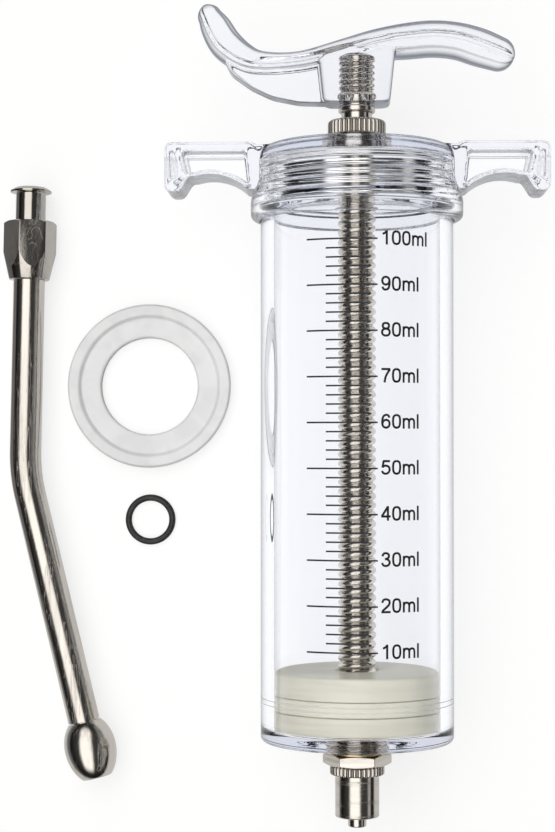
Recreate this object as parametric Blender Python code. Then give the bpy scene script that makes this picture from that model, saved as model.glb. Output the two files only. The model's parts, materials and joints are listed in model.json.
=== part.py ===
"""Veterinary syringe of 100 ml with its bent drenching nozzle and two spare seals.

Everything lies on a bench as if laid out for a picture. The syringe rests on its cap's
rim and on the lower edge of its barrel, so its axis leans by about one degree. Each piece
of the syringe is modelled upright on local Z, nozzle end down, and is then laid down by
the empty that carries it. Local minus Y is the side that faces up from the bench.
"""

import math

import bmesh
import bpy
from mathutils import Vector

MM = 0.001
WIDE_SEGMENTS = 32  # facets round the barrel, the cap and what fits in them
SMALL_SEGMENTS = 20  # facets round the rod and the small fittings

# Clearances
SEAT = 0.1 * MM  # between two faces that rest on each other
RUN = 0.1 * MM  # radial clearance of a piece that turns or slides in another
LOOSE = 0.3 * MM  # radial clearance of the cap's skirt round the barrel
PROUD = 0.02 * MM  # how far a cutter stands past a face that it must not share

# Barrel
BORE_D = 36.5 * MM
BARREL_WALL = 2.9 * MM
BARREL_LENGTH = 125.6 * MM
FLOOR = 2.5 * MM
BOSS_D = 17.0 * MM
BOSS_HEIGHT = 2.1 * MM
NECK_WALL = 1.65 * MM
NECK_LENGTH = 8.8 * MM

# Cap and its two finger wings
THREAD_DEPTH = 0.55 * MM
CAP_WALL = 1.5 * MM
CAP_CEILING = 3.2 * MM
CAP_CORNER = 3.5 * MM
RIM_WALL = 1.9 * MM
RIM_HEIGHT = 4.6 * MM
RIM_FLARE = 4.1 * MM
SKIRT_OVERLAP = 3.0 * MM
GASKET = 1.5 * MM
WING_LENGTH = 19.95 * MM  # from the cap's wall to the wing's tip
WING_DEPTH = 15.0 * MM
WING_HEIGHT = 10.8 * MM
WING_WEB = 2.4 * MM
WING_TOP_FLANGE = 2.0 * MM
WING_ARCH_FLANGE = 0.95 * MM
WING_END = 3.9 * MM
WING_LOBE = 3.3 * MM  # width of the flat foot under the wing's tip
POCKET_INSET = 2.0 * MM  # solid plastic between the cap's wall and a wing's hollow
FINGER_ARCH_R = 11.35 * MM
FINGER_ARCH_INSET = 9.95 * MM  # from the wing's tip to the arch's centre
FINGER_ARCH_RISE = 6.95 * MM  # from the wing's top to the crown of the arch
BUSH_WALL = 0.8 * MM
BUSH_RIM = 0.5 * MM  # how far the bush's flange stands out past its barrel
BUSH_FLANGE = 2.0 * MM

# Plunger
ROD_D = 8.4 * MM
ROD_END_D = 5.9 * MM
ROD_NECK_D = 6.8 * MM
ROD_NECK = 1.6 * MM
ROD_SPIGOT_D = 5.2 * MM
PISTON_TOP = 4.95 * MM
SEAL = 3.25 * MM
SEAL_HOLE_D = 22.3 * MM
SEAL_SQUEEZE = 1.3 * MM  # how much wider than the bore a seal is before it goes in
PISTON_BASE = 4.2 * MM
NUT_RECESS_D = 14.0 * MM
NUT_RECESS = 2.75 * MM
WASHER = 0.5 * MM
NUT_FLATS = 9.0 * MM
NUT_HEIGHT = 1.9 * MM
ORING_CORD = 1.5 * MM
ORING_DEPTH = 1.9 * MM  # from the upper disc's head to the middle of the O-ring
ROD_SEAT_DEPTH = 3.4 * MM  # from the upper disc's head to the step that it is pulled against
DOSE_NUT_D = 12.8 * MM
DOSE_NUT_HEIGHT = 3.35 * MM
DOSE_NUT_FLUTES = 32
DOSE_NUT_FLUTE_DEPTH = 0.45 * MM

# Handle, with places given from the rod's axis and the foot of the boss
STUD_RING_D = 8.1 * MM
STUD_RING = 1.7 * MM
STUD_BULGE_D = 8.8 * MM
STUD_BULGE = 2.6 * MM
STUD_D = 8.0 * MM
STUD_LENGTH = 8.4 * MM
STUD_CROWN = 1.4 * MM  # metal over the spigot's end
BOSS_FOOT_WIDTH = 14.6 * MM
BOSS_HEAD_WIDTH = 17.0 * MM
BOSS_DEPTH = 12.4 * MM
BOSS_RISE = 11.5 * MM
HANDLE_WEB = 7.2 * MM
TIP_DEPTH = 0.35  # depth that the bar keeps at its very tips, as a share of the full depth

# Luer fitting under the barrel
STEM_D = 9.4 * MM
FITTING_HEX = 13.1 * MM
FITTING_HEX_HEIGHT = 2.5 * MM
BRASS_WASHER_D = 13.8 * MM
BRASS_WASHER = 0.4 * MM
FITTING_BORE_D = 2.6 * MM
LUER_END_D = 4.0 * MM
LUER_TAPER = 0.03  # radius gained for each unit of length
LUER_LENGTH = 9.8 * MM
LUER_STEP = 0.8 * MM  # from the clip's groove down to the tip's root
KNURL_D = 12.0 * MM
KNURL_HEIGHT = 2.1 * MM
KNURL_FLUTES = 32
KNURL_FLUTE_DEPTH = 0.35 * MM
SLEEVE_BORE_D = 7.9 * MM
SLEEVE_WALL = 0.87 * MM
SLEEVE_LENGTH = 9.2 * MM
CLIP_THICKNESS = 0.6 * MM
CLIP_WIDTH = 1.0 * MM
CLIP_ROOM = 0.25 * MM  # between the clip and the sleeve round it
CLIP_GROOVE = 0.6 * MM  # depth of the groove that the clip snaps into

# Bent nozzle
NOZZLE_TO_SEAL = 8.3 * MM  # in plan, from the spare seal's edge to the nozzle's axis
NOZZLE_MOUTH_Y = 124.4 * MM
NOZZLE_TURN = math.radians(-0.9)
NOZZLE_FLANGE_D = 9.45 * MM
NOZZLE_FLANGE = 1.4 * MM
NOZZLE_NECK_D = 6.86 * MM
NOZZLE_NECK = 6.6 * MM
NOZZLE_HEX = 10.5 * MM
NOZZLE_HEX_LENGTH = 7.1 * MM
NOZZLE_CONE_LENGTH = 6.3 * MM
NOZZLE_CONE_END_D = 9.2 * MM
SOCKET_MOUTH_D = 4.3 * MM
SOCKET_DEPTH = 8.5 * MM
SOCKET_STOP = 0.3 * MM  # step at the socket's end that the tube's bore stands behind
TUBE_D = 7.2 * MM
TUBE_BORE_D = 3.8 * MM
TUBE_UPPER = 44.4 * MM  # from the hub to where the two straight legs would meet
TUBE_LOWER = 58.2 * MM
TUBE_BEND = math.radians(14.7)
TUBE_BEND_R = 40.0 * MM
BULB_D = 11.7 * MM
BULB_LENGTH = 13.0 * MM
BULB_WIDEST = 0.47  # where the ball end is widest, as a share of its length
BULB_SEAM = 0.1 * MM  # step from the tube out to the ball end's shoulder
BULB_FACE_D = 5.9 * MM
OUTLET_D = 2.4 * MM

# Spare seals
SEAL_TO_BARREL = 7.75 * MM  # in plan, between the spare seal and the barrel
SPARE_SEAL_Y = 78.7 * MM
SPARE_SEAL_LIP_WALL = 2.55 * MM
SPARE_SEAL_LIP = 3.6 * MM
SPARE_SEAL_BODY = 2.6 * MM
SPARE_ORING_SHIFT = 0.2 * MM  # from the middle of the spare seal, along X
SPARE_ORING_Y = 47.9 * MM

# Sizes worked out from the ones above
BORE_R = BORE_D / 2
BARREL_R = BORE_R + BARREL_WALL
NECK_R = BORE_R + NECK_WALL
SHOULDER = BARREL_LENGTH - NECK_LENGTH
CEILING = BARREL_LENGTH + SEAT + GASKET + SEAT
CAP_TOP = CEILING + CAP_CEILING
CAP_FOOT = SHOULDER - SKIRT_OVERLAP
CAP_BORE_R = NECK_R + THREAD_DEPTH
CAP_R = CAP_BORE_R + CAP_WALL
SKIRT_R = BARREL_R + LOOSE
RIM_R = SKIRT_R + RIM_WALL
WING_REACH = CAP_R + WING_LENGTH
ROD_R = ROD_D / 2
BUSH_BORE_R = ROD_R + RUN
BUSH_R = BUSH_BORE_R + BUSH_WALL
BUSH_TOP = CAP_TOP + SEAT + BUSH_FLANGE
PISTON_R = BORE_R - RUN
BASE_FOOT = FLOOR + 4 * SEAT
BASE_HEAD = BASE_FOOT + PISTON_BASE
SEAL_FOOT = BASE_HEAD + SEAT
SEAL_HEAD = SEAL_FOOT + SEAL
TOP_FOOT = SEAL_HEAD + SEAT
PISTON_HEAD = TOP_FOOT + PISTON_TOP
ROD_SHOULDER = PISTON_HEAD - ROD_SEAT_DEPTH
DOSE_NUT_FOOT = BUSH_TOP + SEAT
DOSE_NUT_HEAD = DOSE_NUT_FOOT + DOSE_NUT_HEIGHT
RING_FOOT = DOSE_NUT_HEAD + ROD_NECK
BULGE_FOOT = RING_FOOT + STUD_RING + SEAT
BULGE_HEAD = BULGE_FOOT + STUD_BULGE
STUD_HEAD = BULGE_HEAD + STUD_LENGTH
SPIGOT_TOP = STUD_HEAD - STUD_CROWN - 2 * SEAT
HANDLE_FOOT = BULGE_FOOT + SEAT
WASHER_FOOT = -BOSS_HEIGHT - SEAT - BRASS_WASHER
HEX_HEAD = WASHER_FOOT - SEAT
HEX_FOOT = HEX_HEAD - FITTING_HEX_HEIGHT
COLLAR_HEAD = HEX_FOOT - SEAT
FLANGE_FOOT = COLLAR_HEAD - KNURL_HEIGHT
COLLAR_FOOT = FLANGE_FOOT - SLEEVE_LENGTH
CLIP_HEAD = FLANGE_FOOT - 2 * SEAT
CLIP_FOOT = CLIP_HEAD - CLIP_THICKNESS
SLEEVE_R = SLEEVE_BORE_D / 2 + SLEEVE_WALL
FITTING_NECK_R = SLEEVE_BORE_D / 2 - CLIP_ROOM - CLIP_WIDTH / 2
LUER_ROOT = CLIP_FOOT - LUER_STEP
LUER_END = LUER_ROOT - LUER_LENGTH
SPARE_SEAL_R = (BORE_D + SEAL_SQUEEZE) / 2
SPARE_SEAL_X = -(BARREL_R + SEAL_TO_BARREL + SPARE_SEAL_R)
NOZZLE_X = SPARE_SEAL_X - SPARE_SEAL_R - NOZZLE_TO_SEAL
CORNER = 1.5 * MM  # rounding of the rim's foot, where the syringe rests
FOOT_ROUND = 1.2 * MM  # rounding of the barrel's lower edge, where it rests too

# Centre line of the handle's bar: along X, height over the boss's foot, half thickness, half depth
HANDLE_BAR = (
    (-32.3, 19.5, 2.75, 4.6),
    (-31.0, 17.2, 3.45, 5.0),
    (-28.7, 13.5, 3.65, 5.4),
    (-24.7, 10.4, 3.15, 5.8),
    (-20.3, 9.2, 2.45, 6.0),
    (-12.4, 9.5, 2.1, 6.2),
    (-3.1, 11.7, 2.5, 6.3),
    (3.7, 13.1, 3.15, 6.3),
    (10.5, 13.9, 3.75, 6.2),
    (16.6, 14.4, 3.85, 6.0),
    (22.0, 13.9, 3.9, 5.8),
    (26.8, 12.5, 4.05, 5.4),
    (31.0, 11.0, 3.7, 4.8),
)
# Lower edge of the web under the left blade: along X, height over the boss's foot, corner radius
HANDLE_WEB_EDGE = (
    (-29.6, 13.6, 0.0),
    (-28.6, 7.4, 6.0),
    (-23.2, 3.6, 9.0),
    (-18.6, 1.4, 12.0),
    (-12.6, 0.2, 14.0),
    (-5.0, 0.0, 0.0),
)
HANDLE_WEB_TOP = ((-5.0, 11.0, 0.0), (-13.0, 9.3, 0.0), (-20.3, 9.0, 0.0), (-26.0, 11.4, 0.0))


def clear_scene():
    for old in list(bpy.data.objects):
        bpy.data.objects.remove(old, do_unlink=True)


def make_material(name, colour, roughness, metallic=0.0, transmission=0.0):
    material = bpy.data.materials.new(name)
    material.use_nodes = True
    shader = material.node_tree.nodes["Principled BSDF"]
    shader.inputs["Base Color"].default_value = (*colour, 1.0)
    shader.inputs["Roughness"].default_value = roughness
    shader.inputs["Metallic"].default_value = metallic
    shader.inputs["Transmission Weight"].default_value = transmission
    material.diffuse_color = (*colour, 1.0)
    return material


def make_empty(name, location=(0.0, 0.0, 0.0), rotation=(0.0, 0.0, 0.0), parent=None):
    empty = bpy.data.objects.new(name, None)
    bpy.context.scene.collection.objects.link(empty)
    empty.location = location
    empty.rotation_euler = rotation
    empty.parent = parent
    return empty


def finish_mesh(name, mesh_data, parent, material=None):
    """Turn a bmesh into an object with its faces outward and its round sides smooth."""
    bmesh.ops.remove_doubles(mesh_data, verts=mesh_data.verts, dist=1e-7)
    bmesh.ops.recalc_face_normals(mesh_data, faces=mesh_data.faces)
    mesh = bpy.data.meshes.new(name)
    mesh_data.to_mesh(mesh)
    mesh_data.free()
    mesh.shade_smooth()
    mesh.set_sharp_from_angle(angle=math.radians(35))
    if material:
        mesh.materials.append(material)
    piece = bpy.data.objects.new(name, mesh)
    bpy.context.scene.collection.objects.link(piece)
    piece.parent = parent
    return piece


def boolean(target, other, operation):
    """Add an exact Boolean and hide the piece that it works with."""
    modifier = target.modifiers.new(operation.title(), "BOOLEAN")
    modifier.operation = operation
    modifier.solver = "EXACT"
    modifier.object = other
    other.hide_render = True
    other.display_type = "WIRE"


def rounded(corners, most_steps=4):
    """Outline through corners (x, y, radius), with each corner replaced by an arc.

    A small radius gets one step, which makes it a chamfer, and a large one up to most_steps.
    """
    outline = []
    for index, (x, y, radius) in enumerate(corners):
        corner = Vector((x, y))
        if radius <= 0:
            outline.append(corner)
            continue
        before = Vector(corners[index - 1][:2]) - corner
        after = Vector(corners[(index + 1) % len(corners)][:2]) - corner
        half = before.angle(after) / 2
        steps = max(1, min(most_steps, round(radius / (0.7 * MM))))
        reach = min(radius / math.tan(half), 0.48 * before.length, 0.48 * after.length)
        radius = reach * math.tan(half)
        centre = corner + (before.normalized() + after.normalized()).normalized() * radius / math.sin(half)
        first = corner + before.normalized() * reach - centre
        last = corner + after.normalized() * reach - centre
        turn = math.atan2(first.x * last.y - first.y * last.x, first.dot(last))
        for step in range(steps + 1):
            angle = turn * step / steps
            cosine, sine = math.cos(angle), math.sin(angle)
            outline.append(centre + Vector((first.x * cosine - first.y * sine, first.x * sine + first.y * cosine)))
    return outline


def arc(centre_x, centre_y, radius, start, end, steps):
    """Points on a circle from one angle to another, in degrees."""
    angles = [math.radians(start + (end - start) * step / steps) for step in range(steps + 1)]
    return [Vector((centre_x + radius * math.cos(a), centre_y + radius * math.sin(a))) for a in angles]


def turned(name, outline, parent, material=None, segments=WIDE_SEGMENTS):
    """Revolve a closed outline of (radius, height) about Z. An edge on the axis makes no face."""
    data = bmesh.new()
    points = [data.verts.new((max(x, 0.0), 0.0, y)) for x, y in outline]
    edges = []
    for index, point in enumerate(points):
        following = points[(index + 1) % len(points)]
        if point.co.x > 0 or following.co.x > 0:
            edges.append(data.edges.new((point, following)))
    bmesh.ops.spin(
        data,
        geom=points + edges,
        cent=(0, 0, 0),
        axis=(0, 0, 1),
        angle=math.tau,
        steps=segments,
        use_merge=True,
    )
    return finish_mesh(name, data, parent, material)


def upright_prism(name, outline, foot, head, parent, material=None):
    """Extrude an outline in X and Y from one height to another."""
    data = bmesh.new()
    base = data.faces.new([data.verts.new((x, y, foot)) for x, y in outline])
    pushed = bmesh.ops.extrude_face_region(data, geom=[base])["geom"]
    moved = [item for item in pushed if isinstance(item, bmesh.types.BMVert)]
    bmesh.ops.translate(data, verts=moved, vec=(0, 0, head - foot))
    return finish_mesh(name, data, parent, material)


def facing_prism(name, outline, front, back, parent, material=None):
    """Extrude an outline in X and Z from one depth along Y to another."""
    data = bmesh.new()
    base = data.faces.new([data.verts.new((x, front, z)) for x, z in outline])
    pushed = bmesh.ops.extrude_face_region(data, geom=[base])["geom"]
    moved = [item for item in pushed if isinstance(item, bmesh.types.BMVert)]
    bmesh.ops.translate(data, verts=moved, vec=(0, back - front, 0))
    return finish_mesh(name, data, parent, material)


def skinned(name, rings, parent, material=None, closed=False):
    """Join rings of equal length into one skin, capped at its two ends unless it closes on itself."""
    data = bmesh.new()
    rows = [[data.verts.new(point) for point in ring] for ring in rings]
    count = len(rows[0])
    pairs = list(zip(rows, rows[1:] + rows[:1])) if closed else list(zip(rows, rows[1:]))
    for lower, upper in pairs:
        for index in range(count):
            following = (index + 1) % count
            data.faces.new((lower[index], lower[following], upper[following], upper[index]))
    if not closed:
        data.faces.new(rows[0])
        data.faces.new(rows[-1])
    return finish_mesh(name, data, parent, material)


def hexagon(flats, first_angle=0.0):
    """Six corners of a hexagon, with a corner at the first angle."""
    corner = flats / 2 / math.cos(math.radians(30))
    angles = [first_angle + math.radians(60 * index) for index in range(6)]
    return [(corner * math.cos(a), corner * math.sin(a)) for a in angles]


def fluted(diameter, flutes, depth):
    """Outline of a disc whose edge has even flutes, three points to each."""
    outline = []
    for index in range(flutes):
        for share, cut in ((0.0, 0.0), (0.45, 0.0), (0.725, 1.0)):
            angle = math.tau * (index + share) / flutes
            radius = diameter / 2 - cut * depth
            outline.append((radius * math.cos(angle), radius * math.sin(angle)))
    return outline


def make_barrel(parent, clear):
    stem_hole = STEM_D / 2 + RUN
    outline = rounded(
        (
            (stem_hole, -BOSS_HEIGHT, 0),
            (BOSS_D / 2, -BOSS_HEIGHT, 0.6 * MM),
            (BOSS_D / 2, 0, 0.9 * MM),
            (BARREL_R, 0, FOOT_ROUND),
            (BARREL_R, SHOULDER, 0.3 * MM),
            (NECK_R, SHOULDER, 0.3 * MM),
            (NECK_R, BARREL_LENGTH, 0.3 * MM),
            (BORE_R, BARREL_LENGTH, 0.3 * MM),
            (BORE_R, FLOOR, 0.6 * MM),
            (stem_hole, FLOOR, 0),
        )
    )
    turned("barrel", outline, parent, clear)


def make_cap(parent, clear):
    """Screw cap, turned, with its two hollow finger wings joined to it."""
    hub_hole = BUSH_R + RUN
    shell = rounded(
        (
            (SKIRT_R, CAP_FOOT, 0.4 * MM),
            (RIM_R, CAP_FOOT, CORNER),
            (RIM_R, CAP_FOOT + RIM_HEIGHT, 3.0 * MM),
            (CAP_R, CAP_FOOT + RIM_HEIGHT + RIM_FLARE, 4.0 * MM),
            (CAP_R, CAP_TOP, CAP_CORNER),
            (hub_hole, CAP_TOP, 0.3 * MM),
            (hub_hole, CEILING, 0),
            (CAP_BORE_R, CEILING, 0.4 * MM),
            (CAP_BORE_R, SHOULDER + SEAT, 0),
            (SKIRT_R, SHOULDER + SEAT, 0),
        )
    )
    cap = turned("cap", shell, parent, clear)
    inside = rounded(
        (
            (0, CAP_FOOT - MM, 0),
            (SKIRT_R, CAP_FOOT - MM, 0),
            (SKIRT_R, SHOULDER + SEAT, 0),
            (CAP_BORE_R, SHOULDER + SEAT, 0),
            (CAP_BORE_R, CEILING, 0),
            (0, CEILING, 0),
        )
    )
    for name, side in (("right", 1), ("left", -1)):
        wing = facing_prism(f"wing_{name}", wing_outline(side), -WING_DEPTH / 2, WING_DEPTH / 2, parent)
        edge = wing.modifiers.new("Bevel", "BEVEL")
        edge.width = 0.45 * MM
        edge.segments = 1
        edge.angle_limit = math.radians(50)
        for label, face in (("front", -1), ("back", 1)):
            pocket = facing_prism(
                f"pocket_{name}_{label}",
                pocket_outline(side),
                face * WING_WEB / 2,
                face * WING_DEPTH,
                parent,
            )
            boolean(wing, pocket, "DIFFERENCE")
        boolean(cap, wing, "UNION")
    boolean(cap, turned("cap_inside", inside, parent), "DIFFERENCE")


def wing_outline(side):
    """Side of one wing: flat top, round tip, lobe and the arch that the finger lies in."""
    root = CAP_BORE_R + 0.3 * MM
    arch_x = WING_REACH - FINGER_ARCH_INSET
    arch_z = CAP_TOP - FINGER_ARCH_RISE - FINGER_ARCH_R
    foot = CAP_TOP - WING_HEIGHT
    arch = arc(arch_x, arch_z, FINGER_ARCH_R, 72, 135, 7)
    corners = (
        (root, arch[-1].y, 0),
        (root, CAP_TOP - 0.4 * MM, 0),
        (CAP_R, CAP_TOP - 0.4 * MM, 0),
        (CAP_R + 1.0 * MM, CAP_TOP, 1.0 * MM),
        (WING_REACH, CAP_TOP, 1.4 * MM),
        (WING_REACH, foot, 2.2 * MM),
        (WING_REACH - WING_LOBE, foot, 1.5 * MM),
        (arch[0].x + 1.0 * MM, arch[0].y + 0.1 * MM, 1.6 * MM),
        (arch[0].x, arch[0].y, 0),
    )
    return [(side * x, z) for x, z in rounded(corners) + arch[1:]]


def pocket_outline(side):
    """Hollow in one face of a wing, inside its flanges and its end."""
    arch_x = WING_REACH - FINGER_ARCH_INSET
    arch_z = CAP_TOP - FINGER_ARCH_RISE - FINGER_ARCH_R
    top = CAP_TOP - WING_TOP_FLANGE
    inner = CAP_R + POCKET_INSET
    arch = arc(arch_x, arch_z, FINGER_ARCH_R + WING_ARCH_FLANGE, 65, 131, 6)
    corners = (
        (arch[-1].x, arch[-1].y, 0),
        (inner, top, 0.6 * MM),
        (WING_REACH - WING_END, top, 0.6 * MM),
        (arch[0].x, arch[0].y, 0),
    )
    return [(side * x, z) for x, z in rounded(corners) + arch[1:-1]]


def make_cap_fittings(parent, rubber, steel):
    gasket = [
        (BORE_R + SEAT, BARREL_LENGTH + SEAT),
        (NECK_R, BARREL_LENGTH + SEAT),
        (NECK_R, CEILING - SEAT),
        (BORE_R + SEAT, CEILING - SEAT),
    ]
    turned("cap_gasket", gasket, parent, rubber)
    bush = rounded(
        (
            (BUSH_BORE_R, CEILING + SEAT, 0.15 * MM),
            (BUSH_R, CEILING + SEAT, 0.15 * MM),
            (BUSH_R, CAP_TOP + SEAT, 0),
            (BUSH_R + BUSH_RIM, CAP_TOP + SEAT, 0.2 * MM),
            (BUSH_R + BUSH_RIM, BUSH_TOP, 0.5 * MM),
            (BUSH_BORE_R, BUSH_TOP, 0.15 * MM),
        ),
    )
    turned("cap_bush", bush, parent, steel, segments=SMALL_SEGMENTS)


def make_piston(parent, nylon, seal_rubber, black):
    groove_middle = PISTON_HEAD - ORING_DEPTH
    groove = ORING_CORD / 2 + SEAT
    rod_hole = ROD_R + RUN
    groove_r = rod_hole + ORING_CORD + RUN
    end_hole = ROD_END_D / 2 + RUN
    hub = SEAL_HOLE_D / 2 - RUN
    top = rounded(
        (
            (end_hole, SEAL_FOOT + SEAT, 0),
            (hub, SEAL_FOOT + SEAT, 0),
            (hub, TOP_FOOT, 0),
            (PISTON_R, TOP_FOOT, 0.3 * MM),
            (PISTON_R, PISTON_HEAD, 0.5 * MM),
            (rod_hole, PISTON_HEAD, 0),
            (rod_hole, groove_middle + groove, 0),
            (groove_r, groove_middle + groove, 0),
            (groove_r, groove_middle - groove, 0),
            (rod_hole, groove_middle - groove, 0),
            (rod_hole, ROD_SHOULDER - SEAT, 0),
            (end_hole, ROD_SHOULDER - SEAT, 0),
        ),
    )
    turned("piston_top", top, parent, nylon)
    turned("rod_oring", ring_outline(groove_middle), parent, black, segments=SMALL_SEGMENTS)
    seal = rounded(
        (
            (hub + RUN, SEAL_FOOT, 0.2 * MM),
            (PISTON_R, SEAL_FOOT, 0.5 * MM),
            (PISTON_R, SEAL_HEAD, 0.5 * MM),
            (hub + RUN, SEAL_HEAD, 0.2 * MM),
        ),
    )
    turned("piston_seal", seal, parent, seal_rubber)
    recess = NUT_RECESS_D / 2
    base = rounded(
        (
            (recess, BASE_FOOT, 0.2 * MM),
            (PISTON_R, BASE_FOOT, 0.9 * MM),
            (PISTON_R, BASE_HEAD, 0.3 * MM),
            (end_hole, BASE_HEAD, 0),
            (end_hole, BASE_FOOT + NUT_RECESS, 0),
            (recess, BASE_FOOT + NUT_RECESS, 0),
        ),
    )
    turned("piston_base", base, parent, nylon)


def ring_outline(height):
    """Round cord of an O-ring, centred at a height."""
    middle = ROD_R + RUN + ORING_CORD / 2
    return arc(middle, height, ORING_CORD / 2, 0, 315, 7)


def make_rod(parent, steel):
    outline = rounded(
        (
            (0, BASE_FOOT + 2 * SEAT, 0),
            (ROD_END_D / 2, BASE_FOOT + 2 * SEAT, 0.3 * MM),
            (ROD_END_D / 2, ROD_SHOULDER, 0),
            (ROD_R, ROD_SHOULDER, 0.2 * MM),
            (ROD_R, DOSE_NUT_HEAD, 0.5 * MM),
            (ROD_NECK_D / 2, DOSE_NUT_HEAD + 0.3 * MM, 0),
            (ROD_NECK_D / 2, RING_FOOT - SEAT, 0),
            (ROD_SPIGOT_D / 2, RING_FOOT - SEAT, 0),
            (ROD_SPIGOT_D / 2, SPIGOT_TOP, 0.3 * MM),
            (0, SPIGOT_TOP, 0),
        ),
    )
    turned("rod", outline, parent, steel, segments=SMALL_SEGMENTS)
    washer_head = BASE_FOOT + NUT_RECESS - SEAT
    washer = rounded(
        (
            (ROD_END_D / 2 + RUN, washer_head - WASHER, 0),
            (NUT_RECESS_D / 2 - 6 * RUN, washer_head - WASHER, 0),
            (NUT_RECESS_D / 2 - 6 * RUN, washer_head, 0),
            (ROD_END_D / 2 + RUN, washer_head, 0),
        )
    )
    turned("rod_washer", washer, parent, steel, segments=SMALL_SEGMENTS)
    nut_head = washer_head - WASHER - SEAT
    nut = upright_prism("rod_nut", hexagon(NUT_FLATS), nut_head - NUT_HEIGHT, nut_head, parent, steel)
    hole = hole_cutter("rod_nut_hole", ROD_END_D / 2 + RUN, nut_head - 2 * NUT_HEIGHT, nut_head + MM, parent)
    boolean(nut, hole, "DIFFERENCE")


def hole_cutter(name, radius, foot, head, parent):
    return turned(name, [(0, foot), (radius, foot), (radius, head), (0, head)], parent, segments=SMALL_SEGMENTS)


def make_dose_nut(parent, steel):
    """Nut with a fluted edge, rounded over at its top, that turns on the rod's thread."""
    outline = fluted(DOSE_NUT_D, DOSE_NUT_FLUTES, DOSE_NUT_FLUTE_DEPTH)
    nut = upright_prism("dose_nut", outline, DOSE_NUT_FOOT, DOSE_NUT_HEAD, parent, steel)
    hole = ROD_R + RUN
    half = DOSE_NUT_D / 2 + PROUD
    rounding = rounded(
        (
            (hole, DOSE_NUT_FOOT - PROUD, 0),
            (half, DOSE_NUT_FOOT - PROUD, 0.4 * MM),
            (half, DOSE_NUT_HEAD + PROUD, 0.9 * MM),
            (hole, DOSE_NUT_HEAD + PROUD, 0),
        )
    )
    boolean(nut, turned("dose_nut_rounding", rounding, parent, segments=SMALL_SEGMENTS), "INTERSECT")


def make_handle(parent, clear, steel):
    """Wave-shaped bar, with a web under its left blade and a boss round the rod's stud."""
    handle = skinned("handle", bar_rings(), parent, clear)
    foot = [(x * MM, z * MM + HANDLE_FOOT, r * MM) for x, z, r in HANDLE_WEB_EDGE + HANDLE_WEB_TOP]
    web = facing_prism("handle_web", rounded(foot), -HANDLE_WEB / 2, HANDLE_WEB / 2, parent)
    edge = web.modifiers.new("Bevel", "BEVEL")
    edge.width = 0.8 * MM
    edge.segments = 2
    edge.angle_limit = math.radians(50)
    boolean(handle, web, "UNION")
    boolean(handle, skinned("handle_boss", boss_rings(), parent), "UNION")
    boolean(handle, turned("handle_socket", stud_outline(RUN), parent, segments=SMALL_SEGMENTS), "DIFFERENCE")
    stud = turned("handle_stud", stud_outline(0.0), parent, steel, segments=SMALL_SEGMENTS)
    top = STUD_HEAD - STUD_CROWN
    bore = hole_cutter("handle_stud_bore", ROD_SPIGOT_D / 2 + RUN, RING_FOOT - MM, top, parent)
    boolean(stud, bore, "DIFFERENCE")


def stud_outline(grow):
    """Ring, bulge and stud that the handle is screwed on, or the socket that holds them."""
    ring = STUD_RING_D / 2
    bulge = STUD_BULGE_D / 2 + grow
    stud = STUD_D / 2 + grow
    middle = (BULGE_FOOT + BULGE_HEAD) / 2
    foot = [(0, RING_FOOT, 0), (ring, RING_FOOT, 0.3 * MM), (ring, BULGE_FOOT - SEAT, 0.3 * MM)]
    if grow:
        foot = [(0, HANDLE_FOOT - MM, 0), (bulge, HANDLE_FOOT - MM, 0), (bulge, BULGE_FOOT, 0)]
    corners = foot + [
        (stud - 0.4 * MM, BULGE_FOOT, 0),
        (bulge, middle - 0.5 * MM, 0.8 * MM),
        (bulge, middle + 0.5 * MM, 0.8 * MM),
        (stud - 0.3 * MM, BULGE_HEAD + grow, 0),
        (stud, BULGE_HEAD + 0.5 * MM, 0),
        (stud, STUD_HEAD - 0.7 * MM, 0.6 * MM),
        (stud - 1.4 * MM, STUD_HEAD + grow, 0),
        (0, STUD_HEAD + grow, 0),
    ]
    if grow:
        del corners[3]
    return rounded(corners)


def bar_rings(sides=16, steps=2):
    """Rings of the handle's bar, whose section is a rounded rectangle that follows the wave."""
    stations = [Vector(station) for station in HANDLE_BAR]
    path = []
    for index in range(len(stations) - 1):
        before = stations[max(index - 1, 0)]
        after = stations[min(index + 2, len(stations) - 1)]
        for step in range(steps):
            path.append(smooth_between(before, stations[index], stations[index + 1], after, step / steps))
    path.append(stations[-1])
    start = [(1 - math.cos(math.radians(a)), math.sin(math.radians(a))) for a in (12, 35, 60, 80)]
    rings = []
    for index, (x, z, thick, deep) in enumerate(path):
        here, there = path[max(index - 1, 0)], path[min(index + 1, len(path) - 1)]
        along = Vector((there[0] - here[0], there[1] - here[1])).normalized()
        if index == 0:
            rings += [section(x - along.x * thick * (1 - far), z - along.y * thick * (1 - far),
                              along, thick * size, deep * (TIP_DEPTH + (1 - TIP_DEPTH) * size), sides)
                      for far, size in start]
        rings.append(section(x, z, along, thick, deep, sides))
    rings += [section(x + along.x * thick * (1 - far), z + along.y * thick * (1 - far),
                      along, thick * size, deep * (TIP_DEPTH + (1 - TIP_DEPTH) * size), sides)
              for far, size in reversed(start)]
    return rings


def smooth_between(before, first, second, after, share):
    """Point on the smooth curve through four stations, between the second and the third."""
    square, cube = share * share, share ** 3
    return 0.5 * (
        2 * first
        + (second - before) * share
        + (2 * before - 5 * first + 4 * second - after) * square
        + (3 * first - before - 3 * second + after) * cube
    )


def section(x, z, along, thick, deep, sides):
    """One rounded ring of the bar, square to its path."""
    across = Vector((-along.y, along.x))
    ring = []
    for index in range(sides):
        angle = math.tau * (index + 0.5) / sides
        cosine, sine = math.cos(angle), math.sin(angle)
        out = thick * math.copysign(abs(cosine) ** 0.8, cosine)
        side = deep * math.copysign(abs(sine) ** 0.8, sine)
        point = Vector((x, z)) + across * out
        ring.append((point.x * MM, side * MM, point.y * MM + HANDLE_FOOT))
    return ring


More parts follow.
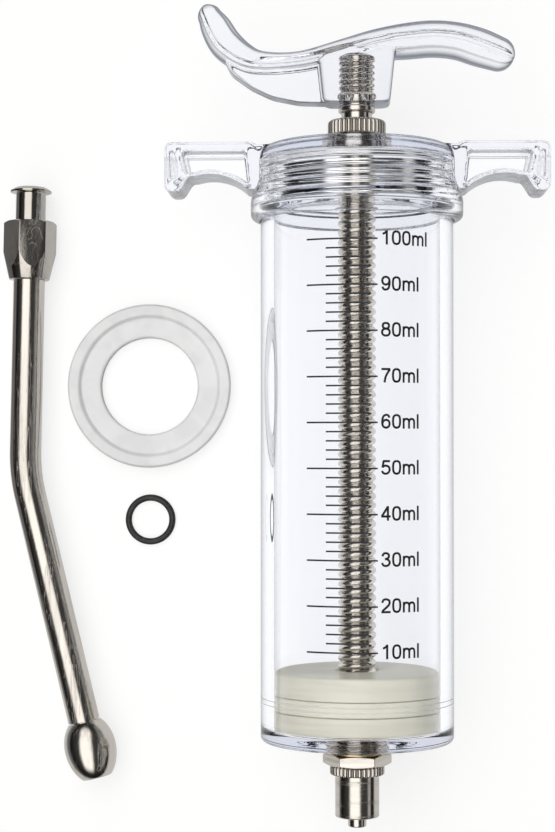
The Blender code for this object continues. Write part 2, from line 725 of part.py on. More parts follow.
def boss_rings():
    """Rings of the boss, a block with rounded uprights that narrows towards its foot."""
    levels = ((0.0, 0.86), (0.35 * MM, 0.95), (1.0 * MM, 1.0), (BOSS_RISE, 1.0))
    rings = []
    for rise, share in levels:
        part = rise / BOSS_RISE
        wide = (BOSS_FOOT_WIDTH + (BOSS_HEAD_WIDTH - BOSS_FOOT_WIDTH) * part) / 2 * share
        deep = BOSS_DEPTH / 2 * (0.94 + 0.06 * part) * share
        corners = [(-wide, -deep), (wide, -deep), (wide, deep), (-wide, deep)]
        outline = rounded([(x, y, 1.8 * MM) for x, y in corners])
        rings.append([(point.x, point.y, HANDLE_FOOT + rise) for point in outline])
    return rings


def make_fitting(parent, steel, brass):
    washer = [
        (STEM_D / 2 + RUN, WASHER_FOOT),
        (BRASS_WASHER_D / 2, WASHER_FOOT),
        (BRASS_WASHER_D / 2, WASHER_FOOT + BRASS_WASHER),
        (STEM_D / 2 + RUN, WASHER_FOOT + BRASS_WASHER),
    ]
    turned("luer_washer", washer, parent, brass, segments=SMALL_SEGMENTS)
    neck = FITTING_NECK_R
    groove = neck - CLIP_GROOVE
    root = LUER_END_D / 2 + LUER_TAPER * LUER_LENGTH
    body_outline = rounded(
        (
            (0, LUER_END, 0),
            (LUER_END_D / 2, LUER_END, 0.15 * MM),
            (root, LUER_ROOT, 0),
            (neck, LUER_ROOT, 0.2 * MM),
            (neck, CLIP_FOOT - SEAT, 0),
            (groove, CLIP_FOOT - SEAT, 0),
            (groove, CLIP_HEAD + SEAT, 0),
            (neck, CLIP_HEAD + SEAT, 0),
            (neck, HEX_FOOT + 0.5 * MM, 0),
            (STEM_D / 2, HEX_FOOT + 0.5 * MM, 0),
            (STEM_D / 2, FLOOR - SEAT, 0.3 * MM),
            (0, FLOOR - SEAT, 0),
        ),
    )
    body = turned("luer_body", body_outline, parent, steel, segments=SMALL_SEGMENTS)
    flats = upright_prism("luer_hex", hexagon(FITTING_HEX), HEX_FOOT, HEX_HEAD, parent)
    corner = FITTING_HEX / 2 / math.cos(math.radians(30))
    chamfer = rounded(
        (
            (0, HEX_FOOT, 0),
            (FITTING_HEX / 2, HEX_FOOT, 0),
            (corner, HEX_FOOT + 0.35 * MM, 0),
            (corner, HEX_HEAD - 0.35 * MM, 0),
            (FITTING_HEX / 2, HEX_HEAD, 0),
            (0, HEX_HEAD, 0),
        )
    )
    boolean(flats, turned("luer_hex_chamfer", chamfer, parent, segments=SMALL_SEGMENTS), "INTERSECT")
    boolean(body, flats, "UNION")
    hole = hole_cutter("luer_hole", FITTING_BORE_D / 2, LUER_END - MM, FLOOR + MM, parent)
    boolean(body, hole, "DIFFERENCE")
    clip = [
        (neck - CLIP_WIDTH / 2, CLIP_FOOT),
        (neck + CLIP_WIDTH / 2, CLIP_FOOT),
        (neck + CLIP_WIDTH / 2, CLIP_HEAD),
        (neck - CLIP_WIDTH / 2, CLIP_HEAD),
    ]
    turned("luer_clip", clip, parent, steel, segments=SMALL_SEGMENTS)


def make_collar(parent, steel):
    """Lock sleeve with its knurled ring, loose on the fitting's neck."""
    sleeve = rounded(
        (
            (0, COLLAR_FOOT, 0),
            (SLEEVE_R, COLLAR_FOOT, 0.6 * MM),
            (SLEEVE_R, COLLAR_HEAD - 0.4 * MM, 0),
            (0, COLLAR_HEAD - 0.4 * MM, 0),
        )
    )
    collar = turned("luer_collar", sleeve, parent, steel, segments=SMALL_SEGMENTS)
    outline = fluted(KNURL_D, KNURL_FLUTES, KNURL_FLUTE_DEPTH)
    knurl = upright_prism("collar_knurl", outline, FLANGE_FOOT, COLLAR_HEAD, parent)
    half = KNURL_D / 2 + PROUD
    rounding = rounded(
        (
            (0, FLANGE_FOOT - PROUD, 0),
            (half, FLANGE_FOOT - PROUD, 0.5 * MM),
            (half, COLLAR_HEAD + PROUD, 0.5 * MM),
            (0, COLLAR_HEAD + PROUD, 0),
        )
    )
    boolean(knurl, turned("knurl_rounding", rounding, parent, segments=SMALL_SEGMENTS), "INTERSECT")
    boolean(collar, knurl, "UNION")
    neck_hole = FITTING_NECK_R + RUN
    inside = [
        (0, COLLAR_FOOT - MM),
        (SLEEVE_BORE_D / 2, COLLAR_FOOT - MM),
        (SLEEVE_BORE_D / 2, FLANGE_FOOT),
        (neck_hole, FLANGE_FOOT),
        (neck_hole, COLLAR_HEAD + MM),
        (0, COLLAR_HEAD + MM),
    ]
    boolean(collar, turned("collar_inside", inside, parent, segments=SMALL_SEGMENTS), "DIFFERENCE")


def make_nozzle(parent, steel):
    """Hub, bent tube and ball end, standing on local Z from the hub's mouth to the outlet."""
    neck_foot = NOZZLE_FLANGE
    hex_start = neck_foot + NOZZLE_NECK
    cone_start = hex_start + NOZZLE_HEX_LENGTH
    hub_end = cone_start + NOZZLE_CONE_LENGTH
    corner = NOZZLE_HEX / 2 / math.cos(math.radians(30))
    neck = rounded(
        (
            (0, hex_start + MM, 0),
            (0, 0, 0),
            (NOZZLE_FLANGE_D / 2 - 1.2 * MM, 0, 1.0 * MM),
            (NOZZLE_FLANGE_D / 2, NOZZLE_FLANGE * 0.6, 0.2 * MM),
            (NOZZLE_FLANGE_D / 2, NOZZLE_FLANGE, 0.2 * MM),
            (NOZZLE_NECK_D / 2, NOZZLE_FLANGE, 0.3 * MM),
            (NOZZLE_NECK_D / 2, hex_start + MM, 0),
        ),
    )
    hub = turned("nozzle_hub", neck, parent, steel, segments=SMALL_SEGMENTS)
    flats = upright_prism("nozzle_hex", hexagon(NOZZLE_HEX), hex_start, hub_end, parent)
    cone = rounded(
        (
            (0, hex_start, 0),
            (NOZZLE_HEX / 2, hex_start, 0),
            (corner, hex_start + 0.5 * MM, 0),
            (corner, cone_start, 0),
            (NOZZLE_CONE_END_D / 2, hub_end, 0.3 * MM),
            (0, hub_end, 0),
        ),
    )
    boolean(flats, turned("nozzle_hex_cone", cone, parent, segments=SMALL_SEGMENTS), "INTERSECT")
    boolean(hub, flats, "UNION")
    mouth, bore = SOCKET_MOUTH_D / 2, TUBE_BORE_D / 2
    socket = [
        (0, -MM),
        (mouth, -MM),
        (mouth, 0),
        (mouth - LUER_TAPER * SOCKET_DEPTH, SOCKET_DEPTH),
        (bore - SOCKET_STOP, SOCKET_DEPTH + SOCKET_STOP),
        (bore - SOCKET_STOP, hub_end + MM),
        (0, hub_end + MM),
    ]
    boolean(hub, turned("nozzle_socket", socket, parent, segments=SMALL_SEGMENTS), "DIFFERENCE")

    frames = tube_frames(hub_end + SEAT)
    outer = [ring_on(frame, TUBE_D / 2) for frame in frames]
    inner = [ring_on(frame, TUBE_BORE_D / 2) for frame in reversed(frames)]
    skinned("nozzle_tube", outer + inner, parent, steel, closed=True)

    end, along = frames[-1]
    bulb = turned("nozzle_bulb", bulb_outline(), parent, steel, segments=SMALL_SEGMENTS)
    bulb.location = end + along * SEAT
    bulb.rotation_euler = (0.0, TUBE_BEND, 0.0)


def tube_frames(start, bend_steps=5):
    """Centres and directions along the tube: one straight leg, one bend, another straight leg."""
    reach = TUBE_BEND_R * math.tan(TUBE_BEND / 2)
    frames = [(Vector((0, 0, start)), Vector((0, 0, 1)))]
    bend_start = Vector((0, 0, start + TUBE_UPPER - reach))
    for step in range(bend_steps + 1):
        angle = TUBE_BEND * step / bend_steps
        shift = Vector((1 - math.cos(angle), 0, math.sin(angle))) * TUBE_BEND_R
        frames.append((bend_start + shift, Vector((math.sin(angle), 0, math.cos(angle)))))
    end, along = frames[-1]
    frames.append((end + along * (TUBE_LOWER - reach - 2 * SEAT), along))
    return frames


def ring_on(frame, radius, sides=SMALL_SEGMENTS):
    """Circle of points round a path that stays in the XZ plane."""
    centre, along = frame
    across = Vector((along.z, 0, -along.x))
    side = Vector((0, 1, 0))
    angles = [math.tau * index / sides for index in range(sides)]
    return [centre + across * radius * math.cos(a) + side * radius * math.sin(a) for a in angles]


def bulb_outline():
    """Ball end: a shoulder, a round body and a flat face with the outlet, all turned."""
    seam, half, face = TUBE_D / 2 + BULB_SEAM, BULB_D / 2, BULB_FACE_D / 2
    middle = BULB_LENGTH * BULB_WIDEST
    outline = [Vector((TUBE_BORE_D / 2 - 0.5 * MM, 0)), Vector((seam, 0))]
    lower = math.degrees(math.asin(seam / half))
    upper = math.degrees(math.asin(face / half))
    for angle in range(0, 91, 15):
        share = math.radians(lower + (90 - lower) * angle / 90)
        rise = (math.cos(math.radians(lower)) - math.cos(share)) / math.cos(math.radians(lower))
        outline.append(Vector((half * math.sin(share), 0.4 * MM + (middle - 0.4 * MM) * rise)))
    for angle in range(15, 91, 15):
        share = math.radians(90 - (90 - upper) * angle / 90)
        drop = math.cos(share) / math.cos(math.radians(upper))
        outline.append(Vector((half * math.sin(share), middle + (BULB_LENGTH - middle) * drop)))
    outline.append(Vector((OUTLET_D / 2, BULB_LENGTH)))
    outline.append(Vector((OUTLET_D / 2, BULB_LENGTH * 0.55)))
    outline.append(Vector((TUBE_BORE_D / 2 - 0.5 * MM, BULB_LENGTH * 0.4)))
    return outline


def lay_nozzle(parent):
    """Empty that lays the nozzle down on a flat of its hexagon and on its ball end."""
    hex_rest = NOZZLE_FLANGE + NOZZLE_NECK
    straight = NOZZLE_HEX_LENGTH + NOZZLE_CONE_LENGTH + TUBE_UPPER
    ball_rest = straight + (TUBE_LOWER + BULB_LENGTH * BULB_WIDEST) * math.cos(TUBE_BEND)
    lean = math.asin((BULB_D / 2 - NOZZLE_HEX / 2) / ball_rest)
    height = NOZZLE_HEX / 2 * math.cos(lean) - hex_rest * math.sin(lean)
    rotation = (math.radians(90) - lean, 0.0, NOZZLE_TURN)
    return make_empty("nozzle_rest", (NOZZLE_X, NOZZLE_MOUTH_Y, height), rotation, parent)


def make_spares(parent, silicone, black):
    half, hole = SPARE_SEAL_R, SEAL_HOLE_D / 2
    lip = half - SPARE_SEAL_LIP_WALL
    outline = rounded(
        (
            (hole, 0, 0),
            (half - 0.7 * MM, 0, 0.5 * MM),
            (half, SPARE_SEAL_LIP - 0.6 * MM, 0.5 * MM),
            (half - 0.5 * MM, SPARE_SEAL_LIP, 0),
            (lip, SPARE_SEAL_LIP, 0.6 * MM),
            (lip - 0.5 * MM, SPARE_SEAL_BODY, 0.4 * MM),
            (hole, SPARE_SEAL_BODY, 0.5 * MM),
        ),
    )
    seal = turned("spare_seal", outline, parent, silicone)
    seal.location = (SPARE_SEAL_X, SPARE_SEAL_Y, 0.0)
    ring = turned("spare_oring", ring_outline(ORING_CORD / 2), parent, black, segments=SMALL_SEGMENTS)
    ring.location = (SPARE_SEAL_X + SPARE_ORING_SHIFT, SPARE_ORING_Y, 0.0)


def lay_syringe(parent):
    """Empty that lays the syringe down on its cap's rim and its barrel's lower edge."""
    rim_rest = CAP_FOOT + CORNER
    lean = math.atan((RIM_R - BARREL_R) / (rim_rest - FOOT_ROUND))
    height = BARREL_R * math.cos(lean) - FOOT_ROUND * math.sin(lean)
    return make_empty("syringe_rest", (0.0, 0.0, height), (lean - math.radians(90), 0.0, 0.0), parent)


def centre_layout(bench):
    """Move the whole set so that the world's origin is below the middle of its box."""
    bpy.context.view_layer.update()
    graph = bpy.context.evaluated_depsgraph_get()
    corners = []
    for piece in bpy.data.objects:
        if piece.type == "MESH" and not piece.hide_render:
            final = piece.evaluated_get(graph)
            corners += [final.matrix_world @ vertex.co for vertex in final.data.vertices]
    for axis in (0, 1):
        values = [corner[axis] for corner in corners]
        bench.location[axis] -= (min(values) + max(values)) / 2
    bench.location.z -= min(corner.z for corner in corners)
    bpy.context.view_layer.update()


def main():
    clear_scene()
    clear = make_material("clear_plastic", (0.93, 0.95, 0.97), 0.05, transmission=1.0)
    nylon = make_material("cream_nylon", (0.87, 0.85, 0.76), 0.45)
    seal_rubber = make_material("seal_silicone", (0.86, 0.85, 0.78), 0.5)
    spare_silicone = make_material("spare_silicone", (0.86, 0.87, 0.89), 0.45)
    black = make_material("black_rubber", (0.02, 0.02, 0.02), 0.5)
    steel = make_material("nickel_plate", (0.62, 0.59, 0.55), 0.22, metallic=1.0)
    brass = make_material("brass", (0.72, 0.56, 0.30), 0.3, metallic=1.0)

    bench = make_empty("bench")
    syringe = lay_syringe(bench)
    make_barrel(syringe, clear)
    make_fitting(syringe, steel, brass)
    make_collar(syringe, steel)
    make_cap(syringe, clear)
    make_cap_fittings(syringe, seal_rubber, steel)
    make_piston(syringe, nylon, seal_rubber, black)
    make_rod(syringe, steel)
    make_handle(syringe, clear, steel)
    make_dose_nut(syringe, steel)
    make_nozzle(lay_nozzle(bench), steel)
    make_spares(bench, spare_silicone, black)
    centre_layout(bench)


main()
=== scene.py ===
"""Veterinary syringe with its bent drenching nozzle and two spare seals: how the set looks.

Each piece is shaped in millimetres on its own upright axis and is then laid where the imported
model has it. On the syringe, X runs across, minus Y faces up from the bench, and Z runs from
the nozzle end to the handle.
"""

import json
import math
from types import SimpleNamespace

import bmesh
import bpy
from bpy.props import FloatProperty, FloatVectorProperty, IntProperty, PointerProperty
from mathutils import Matrix, Vector


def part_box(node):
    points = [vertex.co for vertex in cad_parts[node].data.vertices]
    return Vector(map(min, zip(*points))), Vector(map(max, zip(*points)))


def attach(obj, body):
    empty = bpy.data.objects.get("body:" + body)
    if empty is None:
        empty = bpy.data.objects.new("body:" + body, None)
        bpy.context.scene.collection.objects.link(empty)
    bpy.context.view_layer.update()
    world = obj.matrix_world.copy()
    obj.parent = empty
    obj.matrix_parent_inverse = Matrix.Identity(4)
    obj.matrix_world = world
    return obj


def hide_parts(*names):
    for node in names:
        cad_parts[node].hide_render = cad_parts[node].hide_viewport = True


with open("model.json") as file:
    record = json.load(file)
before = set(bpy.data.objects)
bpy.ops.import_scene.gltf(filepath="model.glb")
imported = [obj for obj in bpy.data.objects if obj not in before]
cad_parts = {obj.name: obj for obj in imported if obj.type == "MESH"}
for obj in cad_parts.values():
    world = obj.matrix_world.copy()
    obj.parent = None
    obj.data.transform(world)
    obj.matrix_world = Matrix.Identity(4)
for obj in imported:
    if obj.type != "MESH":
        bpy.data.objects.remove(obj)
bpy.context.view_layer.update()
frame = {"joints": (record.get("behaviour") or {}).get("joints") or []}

bl_info = {
    "name": "Veterinary syringe set",
    "version": (1, 0, 0),
    "blender": (4, 5, 0),
    "location": "3D View > Sidebar > Syringe",
    "description": "Builds a clear 100 ml drenching syringe, its bent nozzle and its spare seals",
    "category": "Object",
}

MM = 0.001
# How near a wall a point counts as on it, in millimetres
ON_WALL = 0.02
# Shape of the thread between barrel and cap, and the height of the rows that carry it
CAP_THREAD = {"bead_power": 1.4, "run_out": 0.9}
CAP_THREAD_ROWS = 0.13
# Mouth of the nozzle as it lies on the bench, the way across it and the way along it
NOZZLE_MOUTH = (-0.055301, 0.052936, 0.005221)
NOZZLE_ACROSS = (0.999877, -0.015707, 0)
NOZZLE_ALONG = (-0.015707, -0.999864, 0.005)


# ---------------------------------------------------------------- settings


def length(name, description, millimetres):
    return FloatProperty(name=name, description=description, default=millimetres * MM, unit="LENGTH", precision=5)


def colour(name, description, value):
    return FloatVectorProperty(
        name=name, description=description, default=value, size=3, min=0.0, max=1.0, subtype="COLOR"
    )


def share(name, description, value, most=1.0):
    return FloatProperty(name=name, description=description, default=value, min=0.0, max=most)


def angle(name, description, degrees):
    return FloatProperty(name=name, description=description, default=math.radians(degrees), subtype="ANGLE")


def count(name, description, value):
    return IntProperty(name=name, description=description, default=value, min=3)


class BarrelSizes(bpy.types.PropertyGroup):
    outer_radius: length("Outer radius", "Outside of the clear barrel", 21.15)
    bore_radius: length("Bore radius", "Inside of the clear barrel", 18.25)
    height: length("Length", "From the barrel's foot to its rim", 125.6)
    shoulder: length("Shoulder", "Height of the step below the threaded neck", 116.8)
    floor: length("Floor", "Thickness of the barrel's floor", 2.5)
    boss_radius: length("Boss radius", "Round boss under the floor", 8.5)
    boss_height: length("Boss height", "How far the boss stands out below", 2.1)
    neck_radius: length("Neck radius", "Root of the neck's thread", 19.55)
    thread_pitch: length("Thread pitch", "Rise of the cap's thread for each turn", 2.08)
    thread_height: length("Thread height", "From the root to the crest of the thread", 0.83)


class ScaleSizes(bpy.types.PropertyGroup):
    first_mark: length("First mark", "Height of the 10 ml line", 21.2)
    mark_step: length("Mark step", "Distance of two lines, which is 2 ml", 1.928)
    long_mark: length("Long mark", "Length of each fifth line", 15.4)
    short_mark: length("Short mark", "Length of the other lines", 9.05)
    mark_middle: length("Mark middle", "Sideways place of the long lines' middle", -3.4)
    short_shift: length("Short shift", "How far to the right of it the other lines' middle lies", 1.22)
    line_width: length("Line width", "Thickness of a line", 0.35)
    ink: length("Ink", "How far the ink stands proud", 0.04)
    digit_height: length("Digit height", "Height of the numbers", 3.05)
    stroke: length("Stroke", "Width of the numbers' strokes", 0.47)
    label_start: length("Label start", "Sideways place where the numbers start", 4.9)


class CapSizes(bpy.types.PropertyGroup):
    foot: length("Foot", "Height of the cap's rim", 113.8)
    top: length("Top", "Height of the cap's flat top", 130.5)
    ceiling: length("Ceiling", "Height of the cap's inner end", 127.3)
    radius: length("Radius", "Outside of the cap", 21.95)
    rim_radius: length("Rim radius", "Outside of the rim round the cap's foot", 23.35)
    skirt_radius: length("Skirt radius", "Inside of the skirt round the barrel", 21.45)
    bore_radius: length("Bore radius", "Groove of the cap's inner thread", 20.5)
    wing_reach: length("Wing reach", "From the axis to the tip of a wing", 41.9)
    wing_height: length("Wing height", "From the wing's top to its lobe", 10.8)
    wing_depth: length("Wing depth", "Width of a wing's flanges", 15.0)
    wing_web: length("Wing web", "Thickness of the wall between the flanges", 2.4)
    bush_radius: length("Bush radius", "Outside of the metal bush", 5.1)


class PlungerSizes(bpy.types.PropertyGroup):
    disc_radius: length("Disc radius", "Outside of the two cream discs", 18.15)
    seal_radius: length("Seal radius", "Outside of the working seal, where it presses on the bore", 18.26)
    rod_radius: length("Rod radius", "Crest of the rod's thread", 4.2)
    rod_pitch: length("Rod pitch", "Rise of the rod's thread for each turn", 2.02)
    rod_thread: length("Rod thread", "Depth of the rod's thread", 0.92)
    nut_radius: length("Dose nut radius", "Outside of the fluted nut", 6.4)
    nut_flutes: count("Dose nut flutes", "Number of flutes round the nut", 32)


class HandleSizes(bpy.types.PropertyGroup):
    foot: length("Foot", "Height of the boss's foot", 139.55)
    boss_foot: length("Boss foot", "Width of the boss at its foot", 14.6)
    boss_head: length("Boss head", "Width of the boss where the bar starts", 17.0)
    boss_depth: length("Boss depth", "Thickness of the boss", 12.4)
    boss_rise: length("Boss rise", "Height of the boss", 11.5)
    web: length("Web", "Thickness of the web under the left blade", 7.2)
    stud_radius: length("Stud radius", "Crest of the stud's thread", 4.0)
    stud_pitch: length("Stud pitch", "Rise of the stud's thread for each turn", 1.36)
    stud_thread: length("Stud thread", "Depth of the stud's thread", 0.6)


class FittingSizes(bpy.types.PropertyGroup):
    stem_radius: length("Stem radius", "Thread through the barrel's floor", 4.7)
    stem_pitch: length("Stem pitch", "Rise of the stem's thread for each turn", 1.05)
    hexagon: length("Hexagon", "Width across the flats", 13.1)
    washer_radius: length("Washer radius", "Outside of the brass washer", 6.9)
    knurl_radius: length("Knurl radius", "Outside of the collar's knurled ring", 6.0)
    knurl_flutes: count("Knurl flutes", "Number of flutes round the collar", 32)
    sleeve_radius: length("Sleeve radius", "Outside of the lock sleeve", 4.82)
    sleeve_bore: length("Sleeve bore", "Radius of the hole in the lock sleeve", 3.95)
    tip_radius: length("Tip radius", "Radius of the tip at its end", 2.0)


class NozzleSizes(bpy.types.PropertyGroup):
    flange_radius: length("Flange radius", "Domed flange at the nozzle's mouth", 4.725)
    neck_radius: length("Neck radius", "Round neck between flange and hexagon", 3.43)
    hexagon: length("Hexagon", "Width across the flats", 10.5)
    hexagon_turn: angle("Hexagon turn", "How far the hexagon is turned from lying flat", 14.5)
    tube_radius: length("Tube radius", "Outside of the bent tube", 3.6)
    tube_bore: length("Tube bore", "Inside radius of the bent tube", 1.9)
    upper_leg: length("Upper leg", "From the hub to where the two legs would meet", 44.4)
    lower_leg: length("Lower leg", "From there to the ball end", 58.2)
    bend_radius: length("Bend radius", "Radius of the bend's middle line", 40.0)
    bend: angle("Bend", "How far the lower leg turns away", 14.7)
    ball_radius: length("Ball radius", "Widest radius of the ball end", 5.85)
    ball_length: length("Ball length", "From the tube to the ball's flat face", 13.0)


class SpareSizes(bpy.types.PropertyGroup):
    seal_radius: length("Seal radius", "Outside of the spare seal", 18.9)
    seal_hole: length("Seal hole", "Radius of the spare seal's hole", 11.15)
    lip_height: length("Lip height", "Height of the spare seal's outer lip", 3.6)
    body_height: length("Body height", "Thickness of the spare seal's flat part", 2.6)
    lip_wall: length("Lip wall", "Width of the spare seal's outer lip", 2.55)
    cord_radius: length("Cord radius", "Half the thickness of the black ring", 0.75)
    ring_radius: length("Ring radius", "From the black ring's middle to its cord's middle", 5.05)


class Finishes(bpy.types.PropertyGroup):
    clear: colour("Clear plastic", "Tint of the clear plastic's surface", (0.985, 0.99, 1.0))
    clear_depth: colour("Clear depth", "Colour that thick clear plastic takes on", (0.72, 0.76, 0.88))
    clear_density: share("Clear density", "How fast the clear plastic takes on that colour", 24.0, 500.0)
    # Painted shade: clear plastic takes this colour where it is seen edgewise
    edgewise_shade: colour("Clear edge", "What clear plastic shows where it is seen edgewise", (0.02, 0.026, 0.045))
    nickel: colour("Nickel", "Bright nickel plate", (0.64, 0.605, 0.56))
    # Darker nickel for handled spots, and also the painted shade in the grooves of threads and flutes
    nickel_dark: colour("Dull nickel", "Nickel where it is handled or sheltered", (0.30, 0.275, 0.245))
    brass: colour("Brass", "Thin washer under the barrel", (0.80, 0.62, 0.34))
    nylon: colour("Cream nylon", "The two piston discs", (0.88, 0.845, 0.7))
    working_seal: colour("Working seal", "Seal between the discs", (0.9, 0.87, 0.73))
    spare_seal: colour("Spare seal", "Translucent seal on the bench", (0.84, 0.845, 0.86))
    rubber: colour("Black rubber", "Both O-rings", (0.012, 0.012, 0.013))
    ink: colour("Ink", "Printed scale", (0.004, 0.004, 0.004))


class StageSettings(bpy.types.PropertyGroup):
    softbox: FloatProperty(name="Softbox", description="Power of the lamp overhead", default=3.0, min=0.0,
                           unit="POWER")
    lamp: share("Lamp", "Brightness of the lamp where metal mirrors it", 1.6, 50.0)
    lamp_side: angle("Lamp side", "How far the lamp leans to the left", 12.0)
    floor: colour("Floor", "Colour of the bench", (0.27, 0.27, 0.27))
    lift: share("Lift", "Light that the bench adds where it is seen", 0.76)


class SyringeSettings(bpy.types.PropertyGroup):
    barrel: PointerProperty(type=BarrelSizes)
    scale: PointerProperty(type=ScaleSizes)
    cap: PointerProperty(type=CapSizes)
    plunger: PointerProperty(type=PlungerSizes)
    handle: PointerProperty(type=HandleSizes)
    fitting: PointerProperty(type=FittingSizes)
    nozzle: PointerProperty(type=NozzleSizes)
    spare: PointerProperty(type=SpareSizes)
    finish: PointerProperty(type=Finishes)
    stage: PointerProperty(type=StageSettings)


def in_mm(group):
    """The sizes of a group, with every length in millimetres."""
    sizes = SimpleNamespace()
    for name, rule in group.bl_rna.properties.items():
        value = getattr(group, name)
        if rule.type == "FLOAT" and rule.unit == "LENGTH":
            value /= MM
        setattr(sizes, name, value)
    return sizes


def chosen(context, group):
    """The sizes of a group in millimetres, and the finishes."""
    settings = context.scene.syringe
    return in_mm(getattr(settings, group)), settings.finish


# ---------------------------------------------------------------- places


def laid(origin, across, along):
    """Matrix that takes a piece from its own upright millimetres to its place in metres."""
    z = Vector(along).normalized()
    x = Vector(across)
    x = (x - z * z.dot(x)).normalized()
    turn = Matrix((x, z.cross(x), z)).transposed().to_4x4()
    return Matrix.Translation(origin) @ turn @ Matrix.Scale(MM, 4)


def syringe_place():
    """The syringe's axis is the one that its collar turns on, 10 mm below the barrel's foot."""
    joint = next(joint for joint in frame["joints"] if joint["name"] == "collar_turn")
    along = Vector(joint["axis"])
    return laid(Vector(joint["pos_m"]) + along * 10 * MM, (1, 0, 0), along)


def nozzle_place():
    """The nozzle lies on its hexagon and on its ball end."""
    return laid(NOZZLE_MOUTH, NOZZLE_ACROSS, NOZZLE_ALONG)


def bench_place(node):
    """Upright, in the middle of a piece that lies flat on the bench."""
    low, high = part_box(node)
    return laid(((low.x + high.x) / 2, (low.y + high.y) / 2, low.z), (1, 0, 0), (0, 0, 1))


# ---------------------------------------------------------------- shapes


def rounded(corners, steps=6, hold=0.05):
    """Closed outline through corners (x, y, radius), with an arc and two holding points at each."""
    outline = []
    for index, (x, y, radius) in enumerate(corners):
        corner = Vector((x, y))
        if radius <= 0:
            outline.append(corner)
            continue
        before = Vector(corners[index - 1][:2]) - corner
        after = Vector(corners[(index + 1) % len(corners)][:2]) - corner
        half = before.angle(after) / 2
        reach = min(radius / math.tan(half), 0.48 * before.length, 0.48 * after.length)
        radius = reach * math.tan(half)
        middle = corner + (before.normalized() + after.normalized()).normalized() * radius / math.sin(half)
        first = corner + before.normalized() * reach - middle
        last = corner + after.normalized() * reach - middle
        turn = math.atan2(first.x * last.y - first.y * last.x, first.dot(last))
        outline.append(middle + first + before.normalized() * hold)
        for step in range(steps + 1):
            cosine, sine = math.cos(turn * step / steps), math.sin(turn * step / steps)
            outline.append(middle + Vector((first.x * cosine - first.y * sine, first.x * sine + first.y * cosine)))
        outline.append(middle + last + after.normalized() * hold)
    return outline


def band(inner, outer, low, high, edges, steps=6):
    """Outline of a flat ring, with the radii of its four edges from the lower inner one outwards."""
    corners = ((inner, low), (outer, low), (outer, high), (inner, high))
    return rounded([(*corner, edge) for corner, edge in zip(corners, edges)], steps)


def arc(x, y, radius, start, end, steps):
    """Points on a circle from one angle to another, in degrees."""
    angles = [math.radians(start + (end - start) * step / steps) for step in range(steps + 1)]
    return [Vector((x + radius * math.cos(angle), y + radius * math.sin(angle))) for angle in angles]


def finer(outline, radius, start, end, step):
    """Add rows to the outline's upright wall at a radius, between two heights."""
    result = []
    for here, there in zip(outline, outline[1:] + outline[:1]):
        result.append(here)
        on_wall = max(abs(here.x - radius), abs(there.x - radius)) < ON_WALL
        low, high = sorted((here.y, there.y))
        if on_wall and high - low > step and low < end and high > start:
            rows = math.ceil((high - low) / step)
            result += [here.lerp(there, row / rows) for row in range(1, rows)]
    return result


def turned(outline, segments=96):
    """Revolve a closed outline of (radius, height) about Z. Points on the axis become poles."""
    angles = [math.tau * index / segments for index in range(segments)]
    return skinned([
        [(radius * math.cos(a), radius * math.sin(a), height) for a in (angles if radius > 0 else angles[:1])]
        for radius, height in outline
    ], closed=True)


def prism(outline, start, end, plane="XY"):
    """Extrude a flat outline, upright from one height to another or from front to back."""
    if plane == "XY":
        return skinned([[(x, y, depth) for x, y in outline] for depth in (start, end)])
    return skinned([[(x, depth, z) for x, z in outline] for depth in (start, end)])


def skinned(rings, closed=False):
    """Join rings of points, or of one point at a pole, into a skin, capped unless it closes on itself."""
    data = bmesh.new()
    rows = [[data.verts.new(point) for point in ring] for ring in rings]
    count = max(len(row) for row in rows)
    for lower, upper in zip(rows, rows[1:] + rows[:1] if closed else rows[1:]):
        if len(lower) == len(upper) == 1:
            continue
        for index in range(count):
            corners = [lower[index % len(lower)], lower[(index + 1) % len(lower)],
                       upper[(index + 1) % len(upper)], upper[index % len(upper)]]
            data.faces.new(list(dict.fromkeys(corners)))
    if not closed:
        data.faces.new(rows[0])
        data.faces.new(rows[-1])
    bmesh.ops.remove_doubles(data, verts=data.verts, dist=1e-5)
    bmesh.ops.recalc_face_normals(data, faces=data.faces)
    return as_mesh(data)


def as_mesh(data):
    mesh = bpy.data.meshes.new("shape")
    data.to_mesh(mesh)
    data.free()
    return mesh


def joined(*meshes):
    """One mesh that holds several."""
    data = bmesh.new()
    for mesh in meshes:
        data.from_mesh(mesh)
        bpy.data.meshes.remove(mesh)
    return as_mesh(data)


def hexagon(flats):
    """Six corners, with a flat towards minus Y."""
    corner = flats / 2 / math.cos(math.radians(30))
    return [(corner * math.cos(math.radians(a)), corner * math.sin(math.radians(a))) for a in range(0, 360, 60)]


def stood(name, data):
    """A new object in the scene round a mesh, a lamp or a camera."""
    made = bpy.data.objects.new(name, data)
    bpy.context.scene.collection.objects.link(made)
    return made


def modified(mesh, kind, inputs=None, **settings):
    """A mesh with one modifier worked into it. The first mesh is taken away."""
    helper = stood("helper", mesh)
    step = helper.modifiers.new(kind.title(), kind)
    for name, value in settings.items():
        setattr(step, name, value)
    for socket, value in (inputs or {}).items():
        step[socket] = value
    bpy.context.view_layer.update()
    result = bpy.data.meshes.new_from_object(helper.evaluated_get(bpy.context.evaluated_depsgraph_get()))
    bpy.data.objects.remove(helper)
    bpy.data.meshes.remove(mesh)
    return result


def combined(mesh, other, operation):
    """Exact Boolean of two meshes."""
    tool = stood("helper", other)
    result = modified(mesh, "BOOLEAN", operation=operation, solver="EXACT", object=tool)
    bpy.data.objects.remove(tool)
    bpy.data.meshes.remove(other)
    return result


def bevelled(mesh, width, segments=2, angle=40):
    return modified(mesh, "BEVEL", width=width, segments=segments, angle_limit=math.radians(angle))


